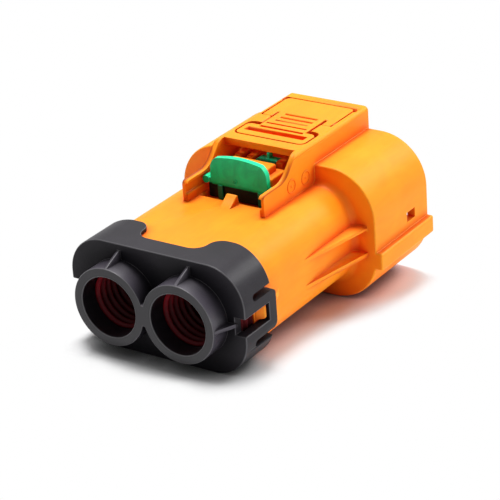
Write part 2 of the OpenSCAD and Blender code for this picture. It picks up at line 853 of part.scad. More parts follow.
// Slots that free a latch loop, its window and its round far corners, in side view
module loop_cuts() {
    slot_r = loop_slot_w / 2;
    corner_y = loop_end_y - loop_corner_r;
    corner_z = loop_h / 2 - loop_corner_r;
    translate([0, loop_z]) {
        translate([cap_y - cut, -loop_window_h / 2])
            square([window_far_y - cap_y + cut, loop_window_h]);
        for (s = [-1, 1]) {
            translate([loop_slot_y + slot_r, s * (loop_h / 2 + slot_r)]) circle(slot_r, $fn = 32);
            translate([loop_slot_y + slot_r, s * (loop_h / 2 + slot_r) - slot_r])
                square([loop_end_y - loop_slot_y, loop_slot_w]);
            difference() {
                translate([corner_y, s * (corner_z + loop_corner_r / 2) - loop_corner_r / 2 - 0.1])
                    square([loop_corner_r + 1, loop_corner_r + 0.2]);
                translate([corner_y, s * corner_z]) circle(loop_corner_r, $fn = 32);
            }
        }
    }
}

// Thin ribs from a collar rim out to the end plate, on top of each collar and on its outer side
module collar_ribs() {
    both_sides() {
        translate([pole_x, 0, 0]) prism_x(-collar_rib_t / 2, collar_rib_t / 2)
            polygon([[cap_y + bond, collar_r - 1], [collar_rib_lead, collar_r - bond],
                     [collar_rib_lead, collar_r], [cap_y + bond, collar_r + collar_rib_reach]]);
        translate([pole_x, 0, -collar_rib_t / 2]) linear_extrude(collar_rib_t)
            polygon([[collar_r - 1, cap_y + bond], [collar_r - bond, collar_rib_lead],
                     [collar_r, collar_rib_lead], [collar_r + collar_rib_reach, cap_y + bond]]);
    }
}

// End plate and skirt of the cap, with its lobes and latch loops
module cap_shell() {
    difference() {
        prism_y(cap_y, loop_end_y) grown_rect(cap_hw, cap_hh, cap_r);
        prism_y(plate_y, loop_end_y + cut) grown_rect(sleeve_hw, sleeve_hh, sleeve_r, seat_gap);
        translate([0, 0, -cap_hh - cut]) linear_extrude(2 * (cap_hh + cut)) lobe_cut();
        for (z = [loop_z + loop_h / 2 + 0.2, loop_z - loop_h / 2 - 0.2 - cap_hh])
            translate([0, 0, z]) linear_extrude(cap_hh) lobe_slope();
        both_sides() prism_x(cap_hw - cap_side_t - cut, cap_hw + cut) loop_cuts();
    }
}

module rear_cap() {
    color("#3a383c") seated() difference() {
        union() {
            cap_shell();
            both_sides() along_y(pole_x, 0) cylinder(r = collar_r, h = cap_y + bond);
            span([-collar_web_hw, 0, -collar_web_h / 2], [collar_web_hw, cap_y + bond, collar_web_h / 2]);
            collar_ribs();
        }
        both_sides() along_y(pole_x, -cut) cylinder(r = collar_bore_r, h = plate_y + 2 * cut);
    }
}

// Wire seals

// Profile of a wire seal, in radius and length, with round lips inside and ribs outside
module seal_profile() {
    total = flange_len + seal_len;
    lip_pitch = total / (seal_lips + 0.5);
    translate([seal_root_r, 0]) square([seal_body_r - seal_root_r, total]);
    for (i = [0 : seal_ribs - 1])
        translate([seal_bore_r - rib_r - seal_end_gap, flange_len + rib_lead + i * rib_pitch])
            circle(rib_r, $fn = 24);
    for (i = [0 : seal_lips - 1])
        translate([seal_root_r, lip_pitch * (i + 0.75)]) circle(lip_depth, $fn = 24);
}

// Outline of the seal flange between cap and sleeve, round inwards and square to the side wall
module flange_plan(in_by = 0) {
    edge = seal_bore_r + seal_end_gap - in_by;
    intersection() {
        grown_rect(sleeve_hw, sleeve_hh, sleeve_r, -flange_gap - in_by);
        union() {
            translate([pole_x, 0]) circle(edge);
            translate([pole_x, -edge]) square([sleeve_hw, 2 * edge]);
        }
    }
}

// Flange with grooves round its rim
module seal_flange() {
    y0 = plate_y + seal_end_gap;
    land_pitch = (flange_len - seal_end_gap - flange_land) / seal_grooves;
    difference() {
        union() {
            prism_y(y0, y0 + flange_len - seal_end_gap) flange_plan(flange_groove);
            for (i = [0 : seal_grooves])
                prism_y(y0 + i * land_pitch, y0 + i * land_pitch + flange_land) flange_plan();
        }
        along_y(pole_x, y0 - cut) cylinder(r = seal_root_r + seal_end_gap, h = flange_len + 2 * cut);
    }
}

// Seal of the right pole; the left one is its mirror image
module wire_seal() {
    color("#8a1420") seated() {
        along_y(pole_x, plate_y + seal_end_gap) rotate_extrude() seal_profile();
        seal_flange();
    }
}

// Contact insulator

// Insulator with a chamber and a pin hole for each contact, and slots for the lock and the interlock
module inner_housing() {
    color("#4a4a4e") seated() difference() {
        union() {
            prism_y(core_y, core_end) grown_rect(core_hw, core_hh, core_r);
            both_sides()
                span([pole_x - core_key_w / 2, can_end + core_key_lead, core_hh - bond],
                     [pole_x + core_key_w / 2, core_end - core_key_back, core_hh + core_key_h]);
        }
        both_sides() {
            along_y(pole_x, core_y - cut) cylinder(r = chamber_r, h = core_end - lip_t - core_y + cut);
            along_y(pole_x, core_end - lip_t - cut) cylinder(r = pin_hole_r, h = lip_t + 2 * cut);
            along_y(pole_x, core_end - funnel_len)
                cylinder(r1 = pin_hole_r, r2 = pin_hole_r + funnel_out, h = funnel_len + 0.2);
        }
        span([-hvil_hw, core_end - hvil_depth, -hvil_hh], [hvil_hw, core_end + cut, hvil_hh]);
        span([-pole_x - lock_side - lock_gap, lock_y - seat_gap, -core_hh - cut],
             [pole_x + lock_side + lock_gap, lock_y + lock_t + seat_gap, lock_top + lock_gap]);
    }
}

// Secondary lock: a comb pushed in from below, behind the contact flanges
module terminal_lock() {
    slot_hw = crimp_d / 2 - lock_bore_gap;
    color("#d8d4c8") seated() difference() {
        intersection() {
            span([-pole_x - lock_side, lock_y, -core_hh], [pole_x + lock_side, lock_y + lock_t, lock_top]);
            prism_y(lock_y, lock_y + lock_t) grown_rect(core_hw, core_hh, core_r, -lock_low_gap);
        }
        both_sides() {
            along_y(pole_x, lock_y - cut) cylinder(r = slot_hw, h = lock_t + 2 * cut);
            span([pole_x - slot_hw, lock_y - cut, 0],
                 [pole_x + slot_hw, lock_y + lock_t + cut, lock_top + cut]);
        }
    }
}

// Contacts

// Turned contact: crimp barrel, locking neck, flange and slotted socket
module terminal(x) {
    barrel_len = lock_y - barrel_gap - crimp_y;
    color("#c9b27c") seated() difference() {
        union() {
            along_y(x, crimp_y) cylinder(r = crimp_d / 2, h = barrel_len);
            along_y(x, lock_y - 1) cylinder(r = crimp_d / 2 - neck_step, h = socket_y - lock_y + 1);
            along_y(x, flange_y) cylinder(r = chamber_r - seat_gap, h = flange_t);
            along_y(x, socket_y - 1) cylinder(r = socket_r, h = socket_len + 1);
        }
        along_y(x, crimp_y - cut) cylinder(r = crimp_bore_d / 2, h = barrel_len - barrel_end_t + cut);
        along_y(x, socket_y) cylinder(r = socket_r - socket_t, h = socket_len + cut);
        for (a = [0, 60, 120])
            along_y(x, socket_y + socket_slot_lead) rotate([0, 0, a])
                span([-socket_r - 1, -socket_slot_w / 2, 0], [socket_r + 1, socket_slot_w / 2, socket_len]);
    }
}

// Contact cage: a thin sleeve with long windows between its louvres
module contact_cage(x) {
    window = socket_len - cage_slot_lead - cage_slot_back;
    color("#d7c28a") seated() difference() {
        along_y(x, socket_y + cage_lead) tube(cage_r, cage_r - cage_t, socket_len - 1);
        for (a = [30, 90, 150])
            along_y(x, socket_y + cage_slot_lead) rotate([0, 0, a])
                span([-cage_r - 1, -cage_slot_w / 2, 0], [cage_r + 1, cage_slot_w / 2, window]);
    }
}

// Shielding

// Sheet metal can round the insulator, with spring fingers at its mating end
module shield_can() {
    slit_y = can_end - slit_len;
    color("#b9bcc0") seated() difference() {
        prism_y(can_y, can_end) grown_rect(can_hw, can_hh, can_r);
        prism_y(can_y - cut, can_end + cut) grown_rect(can_hw, can_hh, can_r, -can_t);
        for (x = [-top_slit_x : top_slit_pitch : top_slit_x])
            span([x - slit_w / 2, slit_y, -can_hh - cut], [x + slit_w / 2, can_end + cut, can_hh + cut]);
        for (z = [-side_slit_pitch, 0, side_slit_pitch])
            span([-can_hw - cut, slit_y, z - slit_w / 2], [can_hw + cut, can_end + cut, z + slit_w / 2]);
    }
}

// Ferrule under the cable braid, with a flange that meets the outer ferrule
module inner_ferrule(x) {
    bore_r = inner_ferrule_r - inner_ferrule_t;
    color("#b8bbb8") seated() {
        along_y(x, ferrule_y) tube(inner_ferrule_r, bore_r, ferrule_len - inner_ferrule_room);
        along_y(x, ferrule_y + ferrule_len - 2 * ferrule_flange_t)
            tube(ferrule_r, bore_r, ferrule_flange_t);
    }
}

module outer_ferrule(x) {
    color("#c7a15a") seated()
        along_y(x, ferrule_y) tube(ferrule_r, ferrule_r - outer_ferrule_t, ferrule_len - outer_ferrule_room);
}

// Contact ring between ferrule and shield can, with crowned leaves
module shield_spring(x) {
    foot_r = ferrule_r + seat_gap;
    mid = spring_len / 2;
    color("#d7c28a") seated() difference() {
        along_y(x, ferrule_y + spring_lead) rotate_extrude()
            polygon([[foot_r, 0], [foot_r + spring_t, 0], [ring_out, mid - spring_crest / 2],
                     [ring_out, mid + spring_crest / 2], [foot_r + spring_t, spring_len],
                     [foot_r, spring_len], [ring_out - spring_t, mid + spring_crest / 4],
                     [ring_out - spring_t, mid - spring_crest / 4]]);
        for (a = [0 : 30 : 150])
            along_y(x, ferrule_y + spring_lead + spring_slot_lead) rotate([0, 0, a])
                span([-ring_out - 1, -spring_slot_w / 2, 0],
                     [ring_out + 1, spring_slot_w / 2, spring_slot_len]);
    }
}

// Interface seal and its retainer

// Ribbed seal round the tower
module interface_seal() {
    color("#8a1420") seated() difference() {
        union() {
            prism_y(iseal_y, iseal_y + iseal_len) grown_rect(tower_hw, tower_hh, tower_r, iseal_t);
            for (i = [0 : iseal_ribs - 1])
                translate([0, iseal_y + iseal_rib_lead + i * iseal_rib_pitch, 0])
                    prism_y(0, iseal_rib_w) grown_rect(tower_hw, tower_hh, tower_r, iseal_t + iseal_rib_h);
        }
        prism_y(iseal_y - cut, iseal_y + iseal_len + cut)
            grown_rect(tower_hw, tower_hh, tower_r, iseal_gap);
    }
}

// Frame that holds on the tower in front of the interface seal
module seal_retainer() {
    end_y = tower_y + retainer_over;
    color("#2c2c30") seated() difference() {
        prism_y(retainer_y, end_y)
            grown_rect(tower_hw, tower_hh, tower_r, retainer_gap + retainer_t);
        prism_y(retainer_y - cut, tower_y + retainer_gap)
            grown_rect(tower_hw, tower_hh, tower_r, retainer_gap);
        prism_y(retainer_y - cut, end_y + cut) grown_rect(can_hw, can_hh, can_r, retainer_can_gap);
    }
}

// Interlock

// Insert between the poles with two pin holes and a groove for the bridge contact
module hvil_holder() {
    back_y = core_end - hvil_depth + lock_gap;
    color("#4a4a4e") seated() difference() {
        span([-hvil_hw + seat_gap, back_y, -hvil_hh + seat_gap],
             [hvil_hw - seat_gap, core_end - hvil_set, hvil_hh - seat_gap]);
        for (z = [-hvil_pole_z, hvil_pole_z])
            along_y(0, back_y + bridge_lead + bridge_gap, z) cylinder(r = hvil_hole_r, h = hvil_depth);
        span([-bridge_hw - bridge_gap, back_y + bridge_hw, -bridge_hh - bridge_gap],
             [bridge_hw + bridge_gap, back_y + bridge_hw + bridge_t + bond, bridge_hh + bridge_gap]);
    }
}

// Bridge contact that closes the interlock circuit
module hvil_bridge() {
    back_y = core_end - hvil_depth + bridge_lead;
    color("#c9b27c") seated() {
        span([-bridge_hw, back_y, -bridge_hh], [bridge_hw, back_y + bridge_t, bridge_hh]);
        for (z = [-hvil_pole_z, hvil_pole_z])
            along_y(0, core_end - hvil_depth + hvil_tube_lead, z)
                tube(hvil_tube_r, hvil_tube_bore_r, hvil_tube_len);
    }
}

outer_housing();
latch_lever();
cpa_slide();
rear_cap();
mirror([1, 0, 0]) wire_seal();  // wire_seal_left
wire_seal();  // wire_seal_right
inner_housing();
terminal(-pole_x);  // terminal_left
terminal(pole_x);  // terminal_right
contact_cage(-pole_x);  // contact_cage_left
contact_cage(pole_x);  // contact_cage_right
terminal_lock();
shield_can();
inner_ferrule(-pole_x);  // inner_ferrule_left
inner_ferrule(pole_x);  // inner_ferrule_right
outer_ferrule(-pole_x);  // outer_ferrule_left
outer_ferrule(pole_x);  // outer_ferrule_right
shield_spring(-pole_x);  // shield_spring_left
shield_spring(pole_x);  // shield_spring_right
interface_seal();
seal_retainer();
hvil_holder();
hvil_bridge();
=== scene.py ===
"""Finishes and studio for a two-pole high voltage cable plug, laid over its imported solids."""

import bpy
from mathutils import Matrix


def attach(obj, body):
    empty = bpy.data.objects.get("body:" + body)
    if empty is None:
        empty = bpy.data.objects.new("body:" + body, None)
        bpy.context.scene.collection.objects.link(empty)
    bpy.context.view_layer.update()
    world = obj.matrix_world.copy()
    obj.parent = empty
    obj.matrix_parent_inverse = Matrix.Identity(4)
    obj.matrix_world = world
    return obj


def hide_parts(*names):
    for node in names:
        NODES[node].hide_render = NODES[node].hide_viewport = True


bl_info = {
    "name": "High Voltage Plug Finishes",
    "version": (1, 0, 0),
    "blender": (4, 5, 0),
    "location": "3D View > Sidebar > Plug",
    "description": "Soft moulded edges, plastics, seals, contacts and studio for a two-pole cable plug",
    "category": "Object",
}

import math

import bmesh
import bpy
from mathutils import Matrix, Vector

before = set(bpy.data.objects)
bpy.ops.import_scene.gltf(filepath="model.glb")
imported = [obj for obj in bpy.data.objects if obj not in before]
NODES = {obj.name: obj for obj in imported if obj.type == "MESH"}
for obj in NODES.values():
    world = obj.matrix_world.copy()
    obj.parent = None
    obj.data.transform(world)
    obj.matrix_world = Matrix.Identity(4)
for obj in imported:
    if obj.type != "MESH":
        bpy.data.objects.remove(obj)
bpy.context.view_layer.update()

MM = 0.001

# The middle of the plug's length, the height of the cable axes over its base, and the distance from
# the middle of the plug to each cable axis, in millimetres. Places that are given "from the rims"
# count from the cable collar rims and from the height of the cable axes.
MID_LENGTH = 42.325
AXIS_HEIGHT = 17.45
POLE_OFFSET = 10.0

# Where the painted sheen and shade of the black finish change, in millimetres: just before the cap's front
# wall and just behind the faces of its collars, along the plug, then just outside a bore and inside a
# collar's wall, as radii about a cable axis.
CAP_WALL = -36.6
COLLAR_FACE = -42.2
BORE_RADIUS = 8.3
COLLAR_RADIUS = 9.0

# Where the green finish gets its painted shade, in millimetres: from the bevel at the foot of the slide's
# tab down, and most so behind the tab's front face.
TAB_FOOT = 32.5
TAB_FRONT = 0.55

# Height below which the seals get painted shade, in millimetres: just under the cable axes.
SEAL_SHADE = 17.0

# Where the insert rings and the gate mark sit, in millimetres from the rims, and the step between rings.
FIRST_RING = (11.95, 47.54, 16.24)
RING_STEP = (0.0, 6.42, -0.23)
GATE_MARK = (-1.0, 42.3, 17.0)


def from_rims(x, y, z):
    """A place in metres from millimetres across, along from the collar rims, and above the cable axes."""
    return Vector((x, y - MID_LENGTH, z + AXIS_HEIGHT)) * MM


class Level:
    """A varying number or colour in a node tree. Arithmetic on it adds Math nodes."""

    def __init__(self, tree, socket):
        self.tree = tree
        self.socket = socket

    def _maths(self, operation, *values):
        return self.tree.maths(operation, *values)

    def __add__(self, other):
        return self._maths("ADD", self, other)

    __radd__ = __add__

    def __mul__(self, other):
        return self._maths("MULTIPLY", self, other)

    __rmul__ = __mul__

    def __sub__(self, other):
        return self._maths("SUBTRACT", self, other)

    def __rsub__(self, other):
        return self._maths("SUBTRACT", other, self)

    def __truediv__(self, other):
        return self._maths("DIVIDE", self, other)

    def __pow__(self, other):
        return self._maths("POWER", self, other)

    def above(self, edge, width):
        """0 below edge, 1 above it, with a soft step of that width."""
        return self.tree.node(
            "ShaderNodeMapRange",
            {"interpolation_type": "SMOOTHSTEP"},
            {0: self, 1: edge - width / 2, 2: edge + width / 2},
        )


class Tree:
    """Adds nodes to a node tree: settings first, then the values or links of the sockets."""

    def __init__(self, tree):
        self.tree = tree

    def add(self, kind, settings=None, values=None):
        """A new node of any kind."""
        node = self.tree.nodes.new(kind)
        for key, value in (settings or {}).items():
            setattr(node, key, value)
        for key, value in (values or {}).items():
            self.feed(node.inputs[key], value)
        return node

    def feed(self, socket, value):
        """Links a level to a socket, or sets a constant on it."""
        if isinstance(value, Level):
            self.tree.links.new(value.socket, socket)
        else:
            socket.default_value = value

    def node(self, kind, settings=None, values=None, out=0):
        """One output of a new node."""
        return Level(self, self.add(kind, settings, values).outputs[out])

    def maths(self, operation, *values):
        return self.node("ShaderNodeMath", {"operation": operation}, dict(enumerate(values)))

    def vector(self, operation, *values, **named):
        values = {**dict(enumerate(values)), **named}
        return self.node("ShaderNodeVectorMath", {"operation": operation}, values)


class Finish(Tree):
    """A material on one Principled shader, with coordinates in millimetres."""

    def __init__(self, name, **fixed):
        self.material = bpy.data.materials.new(name)
        self.material.use_nodes = True
        super().__init__(self.material.node_tree)
        self.tree.nodes.clear()
        self.shader = self.add("ShaderNodeBsdfPrincipled")
        self.output = self.add("ShaderNodeOutputMaterial")
        self.feed(self.output.inputs["Surface"], Level(self, self.shader.outputs[0]))
        for key, value in fixed.items():
            self.shader.inputs[key.replace("_", " ")].default_value = value
        place = self.node("ShaderNodeTexCoord", out="Object")
        self.place = self.vector("SCALE", place, Scale=1 / MM)

    def stretched(self, x, y, z):
        """The place with each axis scaled, for streaks and flow lines."""
        return self.vector("MULTIPLY", self.place, (x, y, z))

    def noise(self, scale, detail=2.0, roughness=0.5, distortion=0.0, place=None):
        """Cloudy noise from 0 to 1, with scale in clouds per millimetre."""
        return self.node(
            "ShaderNodeTexNoise",
            {"noise_dimensions": "3D"},
            {"Vector": place or self.place, "Scale": scale, "Detail": detail,
             "Roughness": roughness, "Distortion": distortion},
        )

    def cells(self, scale):
        """Distance to the nearest grain, from 0 at its middle."""
        return self.node("ShaderNodeTexVoronoi", {"feature": "F1"}, {"Vector": self.place, "Scale": scale})

    def along(self, axis):
        """One coordinate of the place, in millimetres: 0 across, 1 along, 2 up."""
        return self.node("ShaderNodeSeparateXYZ", None, {0: self.place}, axis)

    def open_air(self, reach):
        """1 on open faces, falling to 0 in hollows that are closed within that many millimetres."""
        return self.node("ShaderNodeAmbientOcclusion", {"samples": 12}, {"Distance": reach * MM}, "AO")

    def rounded_edge_mask(self):
        """Up to 1 on the rounded edges that soften() marks, 0 elsewhere; the finishes paint a highlight and
        some wear there.
        """
        return self.node("ShaderNodeAttribute", {"attribute_name": "edge"}, None, "Fac")

    def mix(self, factor, low, high):
        """Colour from low to high. 6 and 7 are the node's colour inputs, 2 is its colour output."""
        return self.node(
            "ShaderNodeMix", {"data_type": "RGBA", "clamp_factor": True},
            {0: factor, 6: colour4(low), 7: colour4(high)}, 2,
        )

    def colour(self, value):
        self.feed(self.shader.inputs["Base Color"], value)

    def roughness(self, value):
        self.feed(self.shader.inputs["Roughness"], value)

    def coat(self, value):
        self.feed(self.shader.inputs["Coat Weight"], value)

    def relief(self, height, depth):
        """Feeds a bump of that depth in millimetres, where height runs from 0 to 1."""
        bump = {"Height": height, "Distance": depth * MM, "Strength": 1.0}
        self.feed(self.shader.inputs["Normal"], self.node("ShaderNodeBump", None, bump))


def colour4(value):
    """An RGBA value for a socket, from three numbers or a link."""
    if isinstance(value, Level):
        return value
    return tuple(value)[:3] + (1.0,)


def shade(value, factor):
    """A colour made lighter or darker by a factor."""
    return tuple(min(1.0, part * factor) for part in tuple(value)[:3])


def tint(name, description, default):
    """A setting for a colour."""
    return bpy.props.FloatVectorProperty(
        name=name, description=description, subtype="COLOR", size=3, min=0.0, max=1.0, default=default
    )


def length(name, description, default, low=0.0, high=1.0):
    """A setting for a length in metres."""
    return bpy.props.FloatProperty(
        name=name, description=description, unit="LENGTH", min=low, max=high, default=default
    )


def amount(name, description, default, low=0.0, high=200.0, unit="NONE"):
    """A setting for any other number."""
    return bpy.props.FloatProperty(
        name=name, description=description, unit=unit, min=low, max=high, default=default
    )


class PlugBodySettings(bpy.types.PropertyGroup):
    """Sizes and colours of the moulded parts."""

    shell_colour: tint("Shell", "Colour of the housing and the latch lever", (1.0, 0.305, 0.006))
    cap_colour: tint("Cap", "Colour of the rear cap and the seal retainer", (0.0150, 0.0130, 0.0170))
    slide_colour: tint("Slide", "Colour of the locking slide", (0.006, 0.76, 0.33))
    insulator_colour: tint("Insulator", "Colour of the contact insulator", (0.045, 0.045, 0.05))
    lock_colour: tint("Lock", "Colour of the contact lock", (0.62, 0.57, 0.45))
    edge_width: length("Edge", "Width of the rounded edges of the housing", 0.0005, 0.0, 0.001)
    cap_edge_width: length("Cap edge", "Width of the rounded edges of the cap", 0.00028, 0.0, 0.001)
    latch_edge_width: length(
        "Latch edge", "Width of the rounded edges of the lever and the slide", 0.00042, 0.0, 0.001
    )
    fine_edge_width: length(
        "Fine edge", "Width of the rounded edges of the small mouldings", 0.0003, 0.0, 0.001
    )
    grain_depth: amount("Grain", "Depth of the moulded grain in millimetres", 0.012, 0.0, 0.2)


class PlugSealSettings(bpy.types.PropertyGroup):
    """Sizes and colour of the silicone seals."""

    seal_colour: tint("Silicone", "Colour of the seals", (0.32, 0.006, 0.016))
    pole_pitch: length("Poles", "Distance between the two cable axes", 2 * POLE_OFFSET * MM, 0.01, 0.04)
    seal_start: length("Start", "Place of the nose of a wire seal, along the plug", -0.037425, -0.05, 0.05)
    seal_length: length("Length", "Length of a wire seal", 0.021, 0.005, 0.03)
    nose_radius: length("Nose", "Outer radius of the nose that stands in the collar", 0.0077, 0.005, 0.012)
    nose_length: length("Nose length", "Length of the nose", 0.0036, 0.001, 0.01)
    root_radius: length("Bore", "Radius between the lips", 0.0076, 0.004, 0.012)
    lip_height: length("Lip height", "Height of a lip inside the seal", 0.00075, 0.0, 0.002)
    lips: bpy.props.IntProperty(
        name="Lips", description="Number of lips inside a wire seal", min=1, max=14, default=10
    )
    body_radius: length("Body", "Outer radius between the ribs", 0.0089, 0.005, 0.012)
    rib_height: length("Rib height", "Height of a rib outside the seal", 0.0004, 0.0, 0.002)
    flange_radius: length("Flange", "Outer radius of the flange at the cap", 0.0095, 0.006, 0.013)
    flange_reach: length("Flange reach", "Cable axis to the flange's flat side", 0.0121, 0.006, 0.02)
    flange_length: length("Flange length", "Length of the flange at the cap", 0.0044, 0.001, 0.01)


class PlugContactSettings(bpy.types.PropertyGroup):
    """Colours of the metal parts."""

    contact_colour: tint("Contacts", "Colour of the plated contacts", (0.80, 0.77, 0.70))
    spring_colour: tint("Springs", "Colour of the contact cages and shield rings", (0.78, 0.60, 0.36))
    sheet_colour: tint("Sheet", "Colour of the shield can and inner ferrules", (0.66, 0.66, 0.65))
    ferrule_colour: tint("Ferrules", "Colour of the outer ferrules", (0.74, 0.52, 0.24))


class PlugMarkSettings(bpy.types.PropertyGroup):
    """Sizes of the marks that the mould leaves."""

    ring_radius: length("Ring", "Radius of an insert ring on the guard wall", 0.00172, 0.0005, 0.004)
    ring_width: length("Ring line", "Width of the line of a ring", 0.0003, 0.0001, 0.001)
    ring_height: length("Ring height", "Height of a ring over the wall", 0.0002, 0.0, 0.0005)
    gate_radius: length("Gate", "Radius of the gate mark on the slide", 0.00055, 0.0002, 0.002)


class PlugStageSettings(bpy.types.PropertyGroup):
    """Floor, lamps and lens."""

    floor_colour: tint("Floor", "Colour of the floor", (0.86, 0.86, 0.87))
    key_power: amount("Key", "Power of the overhead lamp", 4.6, unit="POWER")
    fill_power: amount("Fill", "Power of the side lamp", 1.2, unit="POWER")
    back_power: amount("Back", "Power of the lamp behind the plug", 2.0, unit="POWER")
    room_level: amount("Room", "Strength of the light from the room", 0.2, 0.0, 2.0)
    lens: amount("Lens", "Focal length of the camera", 150.588, 20.0, 400.0, "CAMERA")


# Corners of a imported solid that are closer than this, in metres, are one corner.
WELD_DISTANCE = 2e-6
# Faces that turn less than the first angle are one face, edges that turn more than the second are
# rounded, and edges that still turn more than the third are shaded as sharp.
FLAT_ANGLE = math.radians(1.0)
ROUNDED_ANGLE = math.radians(28.0)
SHARP_ANGLE = math.radians(50.0)
# Share of the rounding that inner corners get, and the least share that is worth a rounding.
INNER_SHARE = 0.5
LEAST_SHARE = 0.08
# Shares of the gap to the next edge that a rounding may fill, where that edge is rounded or isn't.
SHARED_ROOM = 0.45
WHOLE_ROOM = 0.85
# How often the room of an edge is passed on along its chain, and how often spoilt edges are spared.
CHAIN_PASSES = 60
SPARE_PASSES = 4
# Edges are spared as far from a spoilt face as this many widths of the rounding.
SPARE_REACH = 1.2
# A face is spoilt if its triangles cover this share more than its own area.
AREA_SLACK = 0.001
# Two edges run on as one line if the cosine between them, seen from their corner, is below this.
RUNS_ON = -0.7
# A length in metres and an area in square metres that count as nothing.
NO_LENGTH = 1e-9
NO_AREA = 1e-8
# Edge value along the two sides of a rounded strip, where its middle has 1; the finishes use it for a
# painted highlight and some wear.
STRIP_SIDE = 0.4
# How much more wide faces count than narrow ones where shading is evened, where 50 is no more.
WIDE_WEIGHT = 80


def soften(node, name, width):
    """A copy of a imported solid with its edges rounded, and the rounded strips marked for the finish."""
    work = bmesh.new()
    work.from_mesh(NODES[node].data)
    bmesh.ops.remove_doubles(work, verts=work.verts, dist=WELD_DISTANCE)
    bmesh.ops.dissolve_limit(
        work, angle_limit=FLAT_ANGLE, use_dissolve_boundaries=False, verts=work.verts, edges=work.edges
    )
    weights = rounding_weights(work, width)
    piece = rounded_copy(work, name, width)
    for _ in range(SPARE_PASSES):
        spoilt = twisted_faces(piece.data)
        if not spoilt or not spare_edges(work, weights, spoilt, width):
            break
        old = piece.data
        bpy.data.objects.remove(piece)
        bpy.data.meshes.remove(old)
        piece = rounded_copy(work, name, width)
    work.free()
    mark_edges(piece.data)
    even_shading(piece)
    return piece


def rounded_copy(work, name, width):
    """A new object with the weighted edges rounded, and the rounded strips in a second material slot."""
    mesh = bpy.data.meshes.new(name)
    work.to_mesh(mesh)
    mesh.materials.append(None)
    mesh.materials.append(None)
    piece = link(bpy.data.objects.new(name, mesh))
    bevel = piece.modifiers.new("rounding", "BEVEL")
    bevel.width = width
    bevel.segments = 2
    bevel.limit_method = "WEIGHT"
    bevel.use_clamp_overlap = False
    bevel.miter_outer = "MITER_SHARP"
    bevel.material = 1
    flatten_modifiers(piece)
    return piece


def rounding_weights(work, width):
    """Gives each sharp edge the share of the width that its neighbours leave room for."""
    weights = work.edges.layers.float.new("bevel_weight_edge")
    sharp = {e for e in work.edges if len(e.link_faces) == 2 and e.calc_face_angle(0.0) > ROUNDED_ANGLE}
    room = {edge: width if edge.is_convex else INNER_SHARE * width for edge in sharp}
    for face in work.faces:
        for edge in face.edges:
            if edge in sharp:
                room[edge] = min(room[edge], face_room(face, edge, sharp))
    for _ in range(CHAIN_PASSES):
        moved = False
        for edge in sharp:
            for other in chained(edge, sharp):
                if room[other] < room[edge] - NO_LENGTH:
                    room[edge] = room[other]
                    moved = True
        if not moved:
            break
    for edge in sharp:
        share = room[edge] / width
        edge[weights] = share if share > LEAST_SHARE else 0.0
    return weights


def face_room(face, edge, sharp):
    """Room for a rounded edge on one of its faces, before it meets another edge there."""
    start, end = (v.co for v in edge.verts)
    least = 1.0
    for other in face.edges:
        if other is edge:
            continue
        common = [v for v in other.verts if v in edge.verts]
        if not common:
            gap = segment_gap(start, end, *(v.co for v in other.verts))
            least = min(least, gap * (SHARED_ROOM if other in sharp else WHOLE_ROOM))
        elif other not in sharp:
            corner = common[0]
            away = other.other_vert(corner).co - corner.co
            base = (edge.other_vert(corner).co - corner.co).normalized()
            least = min(least, WHOLE_ROOM * (away - base * away.dot(base)).length)
    return least


def segment_gap(a, b, c, d):
    """Shortest distance between two segments of one plane."""
    gaps = []
    for point, start, end in ((a, c, d), (b, c, d), (c, a, b), (d, a, b)):
        line = end - start
        share = (point - start).dot(line) / max(line.length_squared, NO_LENGTH ** 2)
        gaps.append((start + min(1.0, max(0.0, share)) * line - point).length)
    return min(gaps)


def chained(edge, sharp):
    """Sharp edges that carry on from an edge without a corner."""
    for vert in edge.verts:
        ahead = (edge.other_vert(vert).co - vert.co).normalized()
        for other in vert.link_edges:
            if other is not edge and other in sharp:
                if ahead.dot((other.other_vert(vert).co - vert.co).normalized()) < RUNS_ON:
                    yield other


def twisted_faces(mesh):
    """Middles of the faces whose outline crosses itself."""
    mesh.calc_loop_triangles()
    cover = [0.0] * len(mesh.polygons)
    for triangle in mesh.loop_triangles:
        cover[triangle.polygon_index] += triangle.area
    return [
        face.center.copy() for face, area in zip(mesh.polygons, cover)
        if abs(area - face.area) > NO_AREA + AREA_SLACK * face.area
    ]


def spare_edges(work, weights, places, width):
    """Leaves the edges next to these places sharp. True if that changed any."""
    changed = False
    for edge in work.edges:
        if edge[weights] > 0.0:
            a, b = (v.co for v in edge.verts)
            if any(segment_gap(a, b, place, place) < SPARE_REACH * width for place in places):
                edge[weights] = 0.0
                changed = True
    return changed


def mark_edges(mesh):
    """Turns the second material slot, which the rounding leaves on its strips, into an "edge" attribute."""
    edge = mesh.attributes.new("edge", "FLOAT", "CORNER")
    flat = {index for face in mesh.polygons if face.material_index == 0 for index in face.vertices}
    values = [0.0] * len(mesh.loops)
    for face in mesh.polygons:
        if face.material_index == 1:
            for corner, index in zip(face.loop_indices, face.vertices):
                values[corner] = STRIP_SIDE if index in flat else 1.0
        face.material_index = 0
    edge.data.foreach_set("value", values)
    mesh.materials.clear()


def even_shading(piece):
    """Smooth shading that keeps wide flat faces flat."""
    piece.data.shade_smooth()
    piece.data.set_sharp_from_angle(angle=SHARP_ANGLE)
    weighted = piece.modifiers.new("weighting", "WEIGHTED_NORMAL")
    weighted.keep_sharp = True
    weighted.weight = WIDE_WEIGHT
    flatten_modifiers(piece)


def link(item):
    """Puts an object in the scene."""
    bpy.context.scene.collection.objects.link(item)
    return item


def flatten_modifiers(piece):
    """Replaces the mesh by the evaluated one and takes the modifiers off."""
    bpy.context.view_layer.update()
    depsgraph = bpy.context.evaluated_depsgraph_get()
    old = piece.data
    fresh = bpy.data.meshes.new_from_object(piece.evaluated_get(depsgraph), depsgraph=depsgraph)
    fresh.name = old.name
    piece.modifiers.clear()
    piece.data = fresh
    bpy.data.meshes.remove(old)


